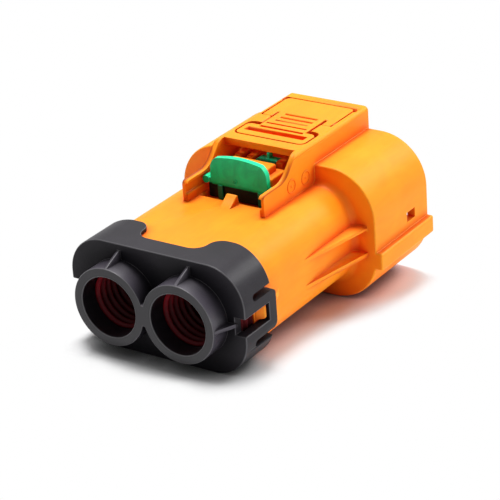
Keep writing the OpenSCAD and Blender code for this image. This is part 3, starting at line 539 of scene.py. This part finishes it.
def dress(piece, material, body, slot, *replaced):
    """Gives a finished piece its material and its body, and hides the imported nodes that it stands for. The
    slot is not used.
    """
    piece.data.materials.clear()
    piece.data.materials.append(material)
    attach(piece, body)
    if replaced:
        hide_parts(*replaced)


def paint(material, *nodes):
    """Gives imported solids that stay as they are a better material."""
    for node in nodes:
        mesh = NODES[node].data
        mesh.materials.clear()
        mesh.materials.append(material)


class Grower(Tree):
    """A Geometry Nodes tree on a new object, with named inputs, that is turned into a plain mesh."""

    def __init__(self, name, inputs):
        group = bpy.data.node_groups.new(name, "GeometryNodeTree")
        super().__init__(group)
        self.name = name
        self.sockets = {}
        for label, kind in inputs.items():
            self.sockets[label] = group.interface.new_socket(label, in_out="INPUT", socket_type=kind)
        group.interface.new_socket("Geometry", in_out="OUTPUT", socket_type="NodeSocketGeometry")
        self.entry = self.add("NodeGroupInput")

    def value(self, label):
        return Level(self, self.entry.outputs[label])

    def finish(self, geometry):
        """Ends the tree: instances made real, material set."""
        real = self.node("GeometryNodeRealizeInstances", None, {0: geometry})
        done = self.node("GeometryNodeSetMaterial", None, {0: real, "Material": self.value("Material")})
        self.add("NodeGroupOutput", None, {0: done})

    def grow(self, name, values):
        """A plain mesh object from the tree with these input values."""
        piece = link(bpy.data.objects.new(name, bpy.data.meshes.new(name)))
        modifier = piece.modifiers.new(self.name, "NODES")
        modifier.node_group = self.tree
        for label, value in values.items():
            modifier[self.sockets[label].identifier] = value
        flatten_modifiers(piece)
        if not piece.data.polygons:
            raise RuntimeError(f"{name} came out empty")
        return piece


def moulded_orange(settings):
    """Satin moulded plastic: faint flow clouds, eroded grain, painted shade that makes hollows redder and
    darker, and a paler painted highlight with some wear on the rounded edges.
    """
    finish = Finish("moulded_orange", Specular_IOR_Level=0.2, Subsurface_Weight=0.12,
                    Subsurface_Radius=(1.0, 0.22, 0.04), Subsurface_Scale=0.0025)
    clouds = finish.noise(0.09, 3.0, 0.5, 0.6)
    flow = finish.noise(0.5, 2.0, 0.5, 1.2, finish.stretched(1.0, 0.16, 1.0))
    tone = 0.65 * clouds + 0.35 * flow
    base = tuple(settings.shell_colour)
    redder = (base[0] * 0.97, base[1] * 0.90, base[2] * 0.8)
    yellower = (1.0, base[1] * 1.08, base[2] * 1.3)
    body = finish.mix(tone.above(0.5, 0.5), redder, yellower)
    air = finish.open_air(2.4) ** 1.5
    # Painted shade: hollows get a redder colour over a broad reach, and a darker, redder one in tight
    # places.
    shaded = finish.mix(finish.open_air(8.0), (1.0, 0.13, 0.003), body)
    painted_hollow_shade = finish.mix(air, (0.75, 0.07, 0.008), shaded)
    wear_and_highlight = finish.rounded_edge_mask() * air
    scuffs = finish.noise(1.3, 4.0, 0.7).above(0.50, 0.25)
    # Painted highlight, with some wear: the rounded edges in the open get a paler, yellower colour, broken
    # up by scuffs.
    finish.colour(finish.mix(wear_and_highlight * (0.25 + 0.35 * scuffs), painted_hollow_shade, (1.0, base[1] * 1.45, base[2] * 4.0)))
    grain = finish.noise(6.0, 3.0, 0.6)
    pits = finish.cells(3.2)
    finish.roughness(0.40 + 0.16 * grain + 0.06 * tone - 0.08 * wear_and_highlight)
    finish.relief(0.6 * grain + 0.4 * pits, settings.grain_depth)
    return finish.material


def textured_black(settings):
    """Black glass-filled plastic: matt grain with pale specks, painted sheen that greys the collars, painted
    shade in hollows and bores, and a painted highlight with some wear on the edges.
    """
    finish = Finish("textured_black", Specular_IOR_Level=0.08, Coat_Roughness=0.34)
    base = tuple(settings.cap_colour)
    specks = finish.cells(4.2)
    grain = finish.noise(5.0, 3.0, 0.65)
    clouds = finish.noise(0.12, 3.0)
    air = finish.open_air(6.0) ** 3.0
    wear_and_highlight = finish.rounded_edge_mask() * air
    body = finish.mix(clouds.above(0.5, 0.5), shade(base, 0.82), shade(base, 1.2))
    dusty = finish.mix(grain.above(0.64, 0.12) * 0.55, body, shade(base, 3.2))
    collars = 1.0 - finish.along(1).above(CAP_WALL, 0.4)
    across = (finish.along(0) * finish.along(0)) ** 0.5 - POLE_OFFSET
    height = finish.along(2) - AXIS_HEIGHT
    radius = (across * across + height * height) ** 0.5
    bores = 1.0 - radius.above(BORE_RADIUS, 0.5)
    sides = collars * radius.above(COLLAR_RADIUS, 0.6) * finish.along(1).above(COLLAR_FACE, 0.1)
    # Painted sheen: the collars get a lighter grey, and their outer sides a much lighter, grainy grey, for
    # the light they catch.
    collar_sheen = finish.mix(collars * 0.7, dusty, shade(base, 1.3))
    collar_side_sheen = finish.mix(sides * (0.45 + 0.35 * grain), collar_sheen, shade(base, 5.5))
    # Painted shade: hollows, and most of all the insides of the bores, get a darker colour.
    painted_hollow_shade = finish.mix(air * (1.0 - 0.9 * bores), shade(base, 0.5), collar_side_sheen)
    # Painted highlight, with some wear: the rounded edges in the open get a pale grey line.
    finish.colour(finish.mix(wear_and_highlight * (0.5 + 0.5 * grain), painted_hollow_shade, (0.15, 0.145, 0.155)))
    finish.roughness(0.44 + 0.18 * grain - 0.22 * wear_and_highlight - 0.08 * collars)
    finish.coat((0.25 + 0.55 * collars) * air)
    finish.relief(0.5 * grain + 0.5 * specks, settings.grain_depth * 2.2)
    return finish.material


def satin_green(settings):
    """Unfilled green plastic: smoother than the shell and cloudy, with painted shade in hollows and below
    the tab, and a painted highlight with some wear on the edges.
    """
    finish = Finish("satin_green", Specular_IOR_Level=0.22)
    base = tuple(settings.slide_colour)
    clouds = finish.noise(0.25, 3.0, 0.5, 1.0)
    air = finish.open_air(1.5)
    wear_and_highlight = finish.rounded_edge_mask() * air
    body = finish.mix(clouds.above(0.5, 0.4), shade(base, 0.85), shade(base, 1.15))
    # Painted shade: the slide goes nearly black below the foot of its tab, most of all behind the tab's
    # front face.
    below = 1.0 - finish.along(2).above(TAB_FOOT, 0.4)
    under_tab_shade = below * (0.7 + 0.3 * finish.along(1).above(TAB_FRONT, 0.3))
    # Painted shade: hollows get a darker green.
    painted_hollow_shade = finish.mix(air, shade(base, 0.2), body)
    # Painted highlight, with some wear: the rounded edges get a paler green.
    edge_highlight_and_wear = finish.mix(wear_and_highlight * 0.7, painted_hollow_shade, (base[0] * 9.0, base[1] * 1.4, base[2] * 1.9))
    finish.colour(finish.mix(under_tab_shade, edge_highlight_and_wear, shade(base, 0.01)))
    grain = finish.noise(7.0, 3.0, 0.6)
    finish.roughness(0.33 + 0.16 * grain - 0.06 * wear_and_highlight)
    finish.relief(grain, settings.grain_depth * 0.7)
    return finish.material


def silicone(settings):
    """Liquid silicone: oily sheen, faint bloom and dust, and painted shade in deep places and in its lower
    half.
    """
    finish = Finish("seal_silicone", Specular_IOR_Level=0.12)
    base = tuple(settings.seal_colour)
    bloom = finish.noise(0.6, 4.0, 0.6)
    dust = finish.noise(9.0, 2.0).above(0.68, 0.1)
    body = finish.mix(bloom.above(0.5, 0.4), shade(base, 0.8), shade(base, 1.25))
    dusty = finish.mix(dust * 0.25, body, (0.5, 0.2, 0.2))
    dark = shade(base, 0.04)
    # Painted shade: deep places get a nearly black red, and so does the lower half of each seal.
    painted_hollow_shade = finish.mix(finish.open_air(12.0) ** 1.6, dark, dusty)
    upper = finish.along(2).above(SEAL_SHADE, 6.0)
    finish.colour(finish.mix(0.6 - 0.6 * upper, painted_hollow_shade, dark))
    finish.roughness(0.42 + 0.18 * bloom + 0.15 * dust)
    finish.relief(bloom, 0.02)
    return finish.material


def insulator(settings, name, colour, fleck):
    """Glass-filled insulator: short pale fibres under the skin and a fine grain."""
    finish = Finish(name, Specular_IOR_Level=0.5)
    base = tuple(colour)
    fibres = finish.noise(4.0, 3.0, 0.6, 0.4, finish.stretched(1.0, 0.25, 1.0)).above(0.62, 0.1)
    clouds = finish.noise(0.15, 3.0)
    wear_and_highlight = finish.rounded_edge_mask()
    body = finish.mix(clouds.above(0.5, 0.5), shade(base, 0.85), shade(base, 1.15))
    flecked = finish.mix(fibres * fleck, body, shade(base, 2.4))
    # Painted highlight, with some wear: the rounded edges get a lighter colour.
    finish.colour(finish.mix(wear_and_highlight * 0.4, flecked, shade(base, 2.0)))
    grain = finish.noise(6.0, 2.0, 0.6)
    finish.roughness(0.42 + 0.18 * grain)
    finish.relief(grain, settings.grain_depth)
    return finish.material


def turned_metal(name, colour, tarnish, rough):
    """Turned and plated metal: fine tool rings along the axis and clouds of tarnish."""
    finish = Finish(name, Metallic=1.0)
    base = tuple(colour)
    rings = finish.noise(1.0, 3.0, 0.7, 0.0, finish.stretched(0.05, 9.0, 0.05))
    clouds = finish.noise(0.5, 4.0, 0.6)
    body = finish.mix(clouds.above(0.52, 0.3), base, tuple(a * b for a, b in zip(base, tarnish)))
    finish.colour(finish.mix(rings * 0.3, body, shade(base, 1.2)))
    finish.roughness(rough + 0.14 * rings + 0.08 * clouds)
    finish.relief(rings, 0.01)
    return finish.material


def rolled_sheet(name, colour, rough):
    """Rolled and stamped sheet: long streaks along the roll and small dull spots."""
    finish = Finish(name, Metallic=1.0)
    base = tuple(colour)
    streaks = finish.noise(1.0, 4.0, 0.6, 0.0, finish.stretched(5.0, 0.15, 5.0))
    spangle = finish.cells(0.8)
    spots = finish.noise(1.8, 3.0).above(0.66, 0.08)
    body = finish.mix(spangle.above(0.5, 0.6), shade(base, 0.86), shade(base, 1.08))
    finish.colour(finish.mix(spots * 0.5, body, shade(base, 0.55)))
    finish.roughness(rough + 0.16 * streaks + 0.15 * spots)
    finish.relief(streaks, 0.012)
    return finish.material


class OBJECT_OT_plug_stage(bpy.types.Operator):
    """Set up the camera, the floor and the lamps."""

    bl_idname = "object.plug_stage"
    bl_label = "Studio"

    def execute(self, context):
        settings = context.scene.plug_stage
        scene = context.scene
        scene.view_settings.view_transform = "Standard"
        place_camera(scene, settings.lens)
        lay_floor(settings)
        hang_lamps(settings)
        light_room(scene, settings)
        return {"FINISHED"}


# Where the camera stands about the plug: turn, height and roll in degrees, distance and aim in metres.
VIEW_TURN = 35.391
VIEW_HEIGHT = 25.448
VIEW_ROLL = -4.147
VIEW_DISTANCE = 0.52162
VIEW_AIM = Vector((0.00003, 0.002675, 0.015075))


def place_camera(scene, lens):
    """A camera without depth of field, which looks at the plug from its cable end."""
    turn, height, roll = (math.radians(a) for a in (VIEW_TURN, VIEW_HEIGHT, VIEW_ROLL))
    back = Vector((math.sin(turn) * math.cos(height), -math.cos(turn) * math.cos(height), math.sin(height)))
    right = Vector((math.cos(turn), math.sin(turn), 0.0))
    up = back.cross(right)
    across = math.cos(roll) * right + math.sin(roll) * up
    above = -math.sin(roll) * right + math.cos(roll) * up
    data = bpy.data.cameras.new("view")
    data.lens = lens
    data.sensor_width = 36.0
    data.clip_start = 0.01
    camera = link(bpy.data.objects.new("view", data))
    camera.matrix_world = Matrix.Translation(VIEW_AIM + back * VIEW_DISTANCE) @ Matrix(
        (across, above, back)
    ).transposed().to_4x4()
    scene.camera = camera


# The plug rests on its hood and on the rim of its cap, so the table runs up towards the cable end.
# It lies a hair below that line, and its half width is in metres too.
FLOOR_FRONT = Vector((0.0, 0.015775, 0.0))
FLOOR_BACK = Vector((0.0, -0.036425, 0.00340))
FLOOR_GAP = Vector((0.0, 0.0, 0.00003))
FLOOR_HALF = 3.0


def lay_floor(settings):
    """A wide white table under the plug, with a painted shadow where the plug closes it in."""
    along = (FLOOR_FRONT - FLOOR_BACK).normalized()
    side = Vector((1.0, 0.0, 0.0))
    centre = (FLOOR_FRONT + FLOOR_BACK) / 2 - FLOOR_GAP
    signs = ((-1, -1), (1, -1), (1, 1), (-1, 1))
    corners = [centre + side * (x * FLOOR_HALF) + along * (y * FLOOR_HALF) for x, y in signs]
    mesh = bpy.data.meshes.new("table")
    mesh.from_pydata([tuple(corner) for corner in corners], [], [(0, 1, 2, 3)])
    finish = Finish("table_white", Specular_IOR_Level=0.06)
    finish.roughness(0.35 + 0.1 * finish.noise(0.02))
    plain = finish.mix(finish.noise(0.01), shade(settings.floor_colour, 0.99), settings.floor_colour)
    # Painted shadow: the floor darkens where the plug closes it in.
    shadow = shade(settings.floor_colour, 0.3)
    finish.colour(finish.mix(finish.open_air(9.0).above(0.30, 0.30), shadow, plain))
    whiten(finish)
    mesh.materials.append(finish.material)
    table = link(bpy.data.objects.new("table", mesh))


def whiten(finish):
    """Shows the floor as plain white away from the plug, to the camera and in reflections."""
    open_floor = finish.open_air(16.0).above(0.64, 0.36)
    seen = seen_rays(finish)
    glow = finish.node("ShaderNodeEmission", None, {"Color": (1.0, 1.0, 1.0, 1.0), "Strength": 1.0})
    mixed = finish.node("ShaderNodeMixShader", None, {
        0: seen * open_floor, 1: Level(finish, finish.shader.outputs[0]), 2: glow,
    })
    finish.feed(finish.output.inputs["Surface"], mixed)


def seen_rays(tree):
    """1 for rays from the camera, from gloss and through glass, 0 for the light that lands on things."""
    path = tree.add("ShaderNodeLightPath")
    kinds = ("Is Camera Ray", "Is Glossy Ray", "Is Transmission Ray")
    camera, glossy, passing = (Level(tree, path.outputs[kind]) for kind in kinds)
    return tree.maths("MAXIMUM", tree.maths("MAXIMUM", camera, passing), glossy)


LAMP_AIM = Vector((0.0, 0.0, 0.015))


def add_lamp(name, place, size, power):
    """A white lamp of that width and height, in metres, which is turned to the plug."""
    data = bpy.data.lights.new(name, "AREA")
    data.shape = "RECTANGLE"
    data.size, data.size_y = size
    data.energy = power
    lamp = link(bpy.data.objects.new(name, data))
    lamp.location = place
    lamp.rotation_euler = (LAMP_AIM - Vector(place)).to_track_quat("-Z", "Y").to_euler()


def hang_lamps(settings):
    add_lamp("overhead", (-0.10, 0.14, 0.60), (0.26, 0.16), settings.key_power)
    add_lamp("side", (0.62, 0.16, 0.075), (0.36, 0.12), settings.fill_power)
    add_lamp("back", (0.24, 0.52, 0.38), (0.3, 0.2), settings.back_power)


def light_room(scene, settings):
    """A white room: dim as a light, plain white where it is seen."""
    world = bpy.data.worlds.new("room")
    world.use_nodes = True
    tree = Tree(world.node_tree)
    tree.tree.nodes.clear()
    strength = settings.room_level + seen_rays(tree) * (1.0 - settings.room_level)
    ground = tree.node("ShaderNodeBackground", None, {"Color": (1.0, 1.0, 1.0, 1.0), "Strength": strength})
    tree.add("ShaderNodeOutputWorld", None, {"Surface": ground})
    scene.world = world


class OBJECT_OT_plug_shell(bpy.types.Operator):
    """Round the edges of the orange housing and lever and give them their moulded finish."""

    bl_idname = "object.plug_shell"
    bl_label = "Housing and lever"

    def execute(self, context):
        settings = context.scene.plug_body
        material = moulded_orange(settings)
        shell = soften("outer_housing", "shell", settings.edge_width)
        dress(shell, material, "housing", "orange_plastic", "outer_housing")
        lever = soften("latch_lever", "press_lever", settings.latch_edge_width)
        dress(lever, material, "lever", "orange_plastic", "latch_lever")
        return {"FINISHED"}


class OBJECT_OT_plug_cap(bpy.types.Operator):
    """Round the edges of the black cap and of the seal retainer and give them their grain."""

    bl_idname = "object.plug_cap"
    bl_label = "Rear cap and retainer"

    def execute(self, context):
        settings = context.scene.plug_body
        material = textured_black(settings)
        cap = soften("rear_cap", "cap", settings.cap_edge_width)
        dress(cap, material, "housing", "black_plastic", "rear_cap")
        retainer = soften("seal_retainer", "retainer", settings.fine_edge_width)
        dress(retainer, material, "housing", "black_plastic", "seal_retainer")
        return {"FINISHED"}


class OBJECT_OT_plug_slide(bpy.types.Operator):
    """Round the edges of the green locking slide and give it its finish."""

    bl_idname = "object.plug_slide"
    bl_label = "Locking slide"

    def execute(self, context):
        settings = context.scene.plug_body
        slide = soften("cpa_slide", "slide_tab", settings.latch_edge_width)
        dress(slide, satin_green(settings), "slide", "green_plastic", "cpa_slide")
        return {"FINISHED"}


class OBJECT_OT_plug_seals(bpy.types.Operator):
    """Grow the two lipped wire seals and finish the interface seal."""

    bl_idname = "object.plug_seals"
    bl_label = "Seals"

    def execute(self, context):
        settings = context.scene.plug_seals
        material = silicone(settings)
        tree = seal_tree()
        for side, sign in (("left", -1), ("right", 1)):
            seal = tree.grow("lipped_seal_" + side, {
                "Across": sign * settings.pole_pitch / 2,
                "Side": sign,
                "Start": settings.seal_start,
                "Length": settings.seal_length,
                "Root radius": settings.root_radius,
                "Lip height": settings.lip_height,
                "Lips": settings.lips,
                "Body radius": settings.body_radius,
                "Rib height": settings.rib_height,
                "Nose radius": settings.nose_radius,
                "Nose length": settings.nose_length,
                "Flange radius": settings.flange_radius,
                "Flange reach": settings.flange_reach,
                "Flange length": settings.flange_length,
                "Height": AXIS_HEIGHT * MM,
                "Material": material,
            })
            seal.data.shade_smooth()
            dress(seal, material, "housing", "red_silicone", "wire_seal_" + side)
        paint(material, "interface_seal")
        return {"FINISHED"}


# Points round a wire seal and along its inside and outside together.
SEAL_ROUND = 97
SEAL_ALONG = 481
# Depth of the groove in the flange, and from one outer rib to the next, in metres.
GROOVE_DEPTH = 0.0003
RIB_PITCH = 0.003
# How narrow the round lips inside are, where 1 is a plain wave.
LIP_POWER = 1.6
# How steeply the round flange is drawn out to its flat side.
FLANGE_DRAW = 1.32


def seal_tree():
    """A closed ribbed sleeve: one grid bent round the axis, with lips inside and ribs outside."""
    sizes = (
        "Across", "Side", "Start", "Height", "Length", "Root radius", "Lip height", "Body radius",
        "Rib height", "Flange radius", "Flange reach", "Flange length", "Nose radius", "Nose length",
    )
    tree = Grower("lipped_seal", {
        **dict.fromkeys(sizes, "NodeSocketFloat"),
        "Lips": "NodeSocketInt",
        "Material": "NodeSocketMaterial",
    })
    grid = tree.node("GeometryNodeMeshGrid", None, {
        "Size X": 1.0, "Size Y": 1.0, "Vertices X": SEAL_ROUND, "Vertices Y": SEAL_ALONG,
    })
    where = tree.node("GeometryNodeInputPosition")
    turn = (tree.node("ShaderNodeSeparateXYZ", None, {0: where}, 0) + 0.5) * (2 * math.pi)
    path = tree.node("ShaderNodeSeparateXYZ", None, {0: where}, 1) + 0.5
    inside = tree.maths("GREATER_THAN", path, 0.5)
    share = 1.0 - tree.maths("ABSOLUTE", path * 2.0 - 1.0)
    run = share * tree.value("Length")
    # Inner side: thin round lips that stand in from the root.
    wave = tree.maths("SINE", share * (tree.value("Lips") + 0.5) * (2 * math.pi) - math.pi / 2)
    lip = (wave * 0.5 + 0.5) ** LIP_POWER
    inner = tree.value("Root radius") - tree.value("Lip height") * lip
    # Outer side: a smooth nose in the collar, a grooved flange under the cap, then ribs in the bore.
    past_nose = run - tree.value("Nose length")
    past_flange = past_nose - tree.value("Flange length")
    before = tree.maths("LESS_THAN", past_nose, 0.0)
    flange = tree.maths("LESS_THAN", past_flange, 0.0) - before
    groove = tree.maths("SINE", past_nose / tree.value("Flange length") * (4 * math.pi) + math.pi / 2)
    cut = GROOVE_DEPTH - GROOVE_DEPTH * groove
    rib = tree.maths("MAXIMUM", tree.maths("SINE", past_flange * (2 * math.pi / RIB_PITCH)), 0.0)
    on_body = tree.value("Body radius") + tree.value("Rib height") * rib
    outer = (
        before * tree.value("Nose radius")
        + flange * (tree.value("Flange radius") - cut)
        + (1.0 - before - flange) * on_body
    )
    radius = outer + inside * (inner - outer)
    # The flange is square to the side wall, so its outer half is drawn out to that wall.
    across = radius * tree.maths("COSINE", turn) * tree.value("Side")
    drawn = tree.maths(
        "MINIMUM", across * (FLANGE_DRAW * tree.value("Flange reach") / tree.value("Flange radius")),
        tree.value("Flange reach") - cut,
    )
    on_side = flange * (1.0 - inside) * tree.maths("GREATER_THAN", across, 0.0)
    place = tree.node("ShaderNodeCombineXYZ", None, {
        0: tree.value("Across") + (across + on_side * (drawn - across)) * tree.value("Side"),
        1: tree.value("Start") + run,
        2: tree.value("Height") + radius * tree.maths("SINE", turn),
    })
    bent = tree.node("GeometryNodeSetPosition", None, {"Geometry": grid, "Position": place})
    closed = tree.node("GeometryNodeMergeByDistance", None, {"Geometry": bent, "Distance": 1e-6})
    tree.finish(closed)
    return tree


class OBJECT_OT_plug_insulators(bpy.types.Operator):
    """Finish the contact insulator, the interlock insert and the contact lock."""

    bl_idname = "object.plug_insulators"
    bl_label = "Insulators"

    def execute(self, context):
        settings = context.scene.plug_body
        dark = insulator(settings, "glass_filled_insulator", settings.insulator_colour, 0.5)
        pale = insulator(settings, "natural_lock", settings.lock_colour, 0.2)
        core = soften("inner_housing", "contact_insulator", settings.fine_edge_width)
        dress(core, dark, "housing", "insulator_plastic", "inner_housing")
        insert = soften("hvil_holder", "interlock_insert", settings.fine_edge_width)
        dress(insert, dark, "housing", "insulator_plastic", "hvil_holder")
        paint(pale, "terminal_lock")
        return {"FINISHED"}


class OBJECT_OT_plug_metal(bpy.types.Operator):
    """Finish the contacts, springs, ferrules and the shield can."""

    bl_idname = "object.plug_metal"
    bl_label = "Contacts and shield"

    def execute(self, context):
        settings = context.scene.plug_contacts
        silver = turned_metal("silver_plated", settings.contact_colour, (0.78, 0.70, 0.55), 0.18)
        bronze = rolled_sheet("spring_bronze", settings.spring_colour, 0.22)
        sheet = rolled_sheet("tinned_sheet", settings.sheet_colour, 0.26)
        brass = turned_metal("drawn_brass", settings.ferrule_colour, (0.85, 0.72, 0.55), 0.22)
        paint(silver, "terminal_left", "terminal_right", "hvil_bridge")
        paint(bronze, "contact_cage_left", "contact_cage_right", "shield_spring_left", "shield_spring_right")
        paint(sheet, "shield_can", "inner_ferrule_left", "inner_ferrule_right")
        paint(brass, "outer_ferrule_left", "outer_ferrule_right")
        return {"FINISHED"}


class OBJECT_OT_plug_marks(bpy.types.Operator):
    """Grow the insert rings on the guard wall and the gate mark on the slide."""

    bl_idname = "object.plug_marks"
    bl_label = "Mould marks"

    def execute(self, context):
        settings = context.scene.plug_marks
        orange, green = (bpy.data.materials[name] for name in ("moulded_orange", "satin_green"))
        tree = ring_tree()
        rings = tree.grow("insert_rings", {
            "First": from_rims(*FIRST_RING),
            "Step": Vector(RING_STEP) * MM,
            "Count": 2,
            "Turn": (0.0, math.radians(90.0), 0.0),
            "Radius": settings.ring_radius,
            "Line": settings.ring_width,
            "Rise": settings.ring_height,
            "Material": orange,
        })
        dress(rings, orange, "housing", "orange_plastic")
        gate = tree.grow("gate_mark", {
            "First": from_rims(*GATE_MARK),
            "Step": Vector((0.0, 0.0, 0.0)),
            "Count": 1,
            "Turn": (math.radians(90.0), 0.0, 0.0),
            "Radius": settings.gate_radius,
            "Line": settings.ring_width,
            "Rise": settings.ring_height,
            "Material": green,
        })
        dress(gate, green, "slide", "green_plastic")
        return {"FINISHED"}


# Radius of the pip in a ring, as a share of the ring's.
PIP_SHARE = 0.22


def ring_tree():
    """A row of low round rings with a pip in the middle of each."""
    tree = Grower("mould_rings", {
        "First": "NodeSocketVector", "Step": "NodeSocketVector", "Count": "NodeSocketInt",
        "Turn": "NodeSocketVector", "Radius": "NodeSocketFloat", "Line": "NodeSocketFloat",
        "Rise": "NodeSocketFloat", "Material": "NodeSocketMaterial",
    })
    points = tree.node("GeometryNodeMeshLine", {"mode": "OFFSET", "count_mode": "TOTAL"},
                       {"Count": tree.value("Count"), "Start Location": tree.value("First"),
                        "Offset": tree.value("Step")})
    path = tree.node("GeometryNodeCurvePrimitiveCircle", {"mode": "RADIUS"},
                     {"Resolution": 48, "Radius": tree.value("Radius")})
    line = tree.node("GeometryNodeCurvePrimitiveCircle", {"mode": "RADIUS"},
                     {"Resolution": 10, "Radius": tree.value("Line") / 2})
    ring = tree.node("GeometryNodeCurveToMesh", None, {0: path, 1: line})
    squat = tree.node("ShaderNodeCombineXYZ", None,
                      {0: 1.0, 1: 1.0, 2: tree.value("Rise") / tree.value("Line") * 2.0})
    low = tree.node("GeometryNodeTransform", None, {"Geometry": ring, "Scale": squat})
    pip = tree.node("GeometryNodeMeshUVSphere", None,
                    {"Segments": 20, "Rings": 10, "Radius": tree.value("Radius") * PIP_SHARE})
    flat = tree.node("ShaderNodeCombineXYZ", None,
                     {0: 1.0, 1: 1.0, 2: tree.value("Rise") / tree.value("Radius") / PIP_SHARE})
    low_pip = tree.node("GeometryNodeTransform", None, {"Geometry": pip, "Scale": flat})
    joined = tree.add("GeometryNodeJoinGeometry")
    for part in (low, low_pip):
        tree.tree.links.new(part.socket, joined.inputs[0])
    turned = tree.node("GeometryNodeTransform", None,
                       {"Geometry": Level(tree, joined.outputs[0]), "Rotation": tree.value("Turn")})
    placed = tree.node("GeometryNodeInstanceOnPoints", None, {"Points": points, "Instance": turned})
    tree.finish(placed)
    return tree


class VIEW3D_PT_plug(bpy.types.Panel):
    """Steps and settings of the plug."""

    bl_idname = "VIEW3D_PT_plug"
    bl_label = "High voltage plug"
    bl_space_type = "VIEW_3D"
    bl_region_type = "UI"
    bl_category = "Plug"

    def draw(self, context):
        layout = self.layout
        for step in STEPS:
            layout.operator(step.bl_idname)
        for holder, group in SETTINGS.items():
            box = layout.box()
            for key in group.__annotations__:
                box.prop(getattr(context.scene, holder), key)


SETTINGS = {
    "plug_body": PlugBodySettings,
    "plug_seals": PlugSealSettings,
    "plug_contacts": PlugContactSettings,
    "plug_marks": PlugMarkSettings,
    "plug_stage": PlugStageSettings,
}
STEPS = (
    OBJECT_OT_plug_stage,
    OBJECT_OT_plug_shell,
    OBJECT_OT_plug_cap,
    OBJECT_OT_plug_slide,
    OBJECT_OT_plug_seals,
    OBJECT_OT_plug_insulators,
    OBJECT_OT_plug_metal,
    OBJECT_OT_plug_marks,
)


def register():
    for item in (*SETTINGS.values(), *STEPS, VIEW3D_PT_plug):
        bpy.utils.register_class(item)
    for holder, group in SETTINGS.items():
        setattr(bpy.types.Scene, holder, bpy.props.PointerProperty(type=group))


def unregister():
    for holder in SETTINGS:
        delattr(bpy.types.Scene, holder)
    for item in reversed((*SETTINGS.values(), *STEPS, VIEW3D_PT_plug)):
        bpy.utils.unregister_class(item)


def main():
    register()
    for step in STEPS:
        group, name = step.bl_idname.split(".")
        getattr(getattr(bpy.ops, group), name)()


if __name__ == "__main__":
    main()
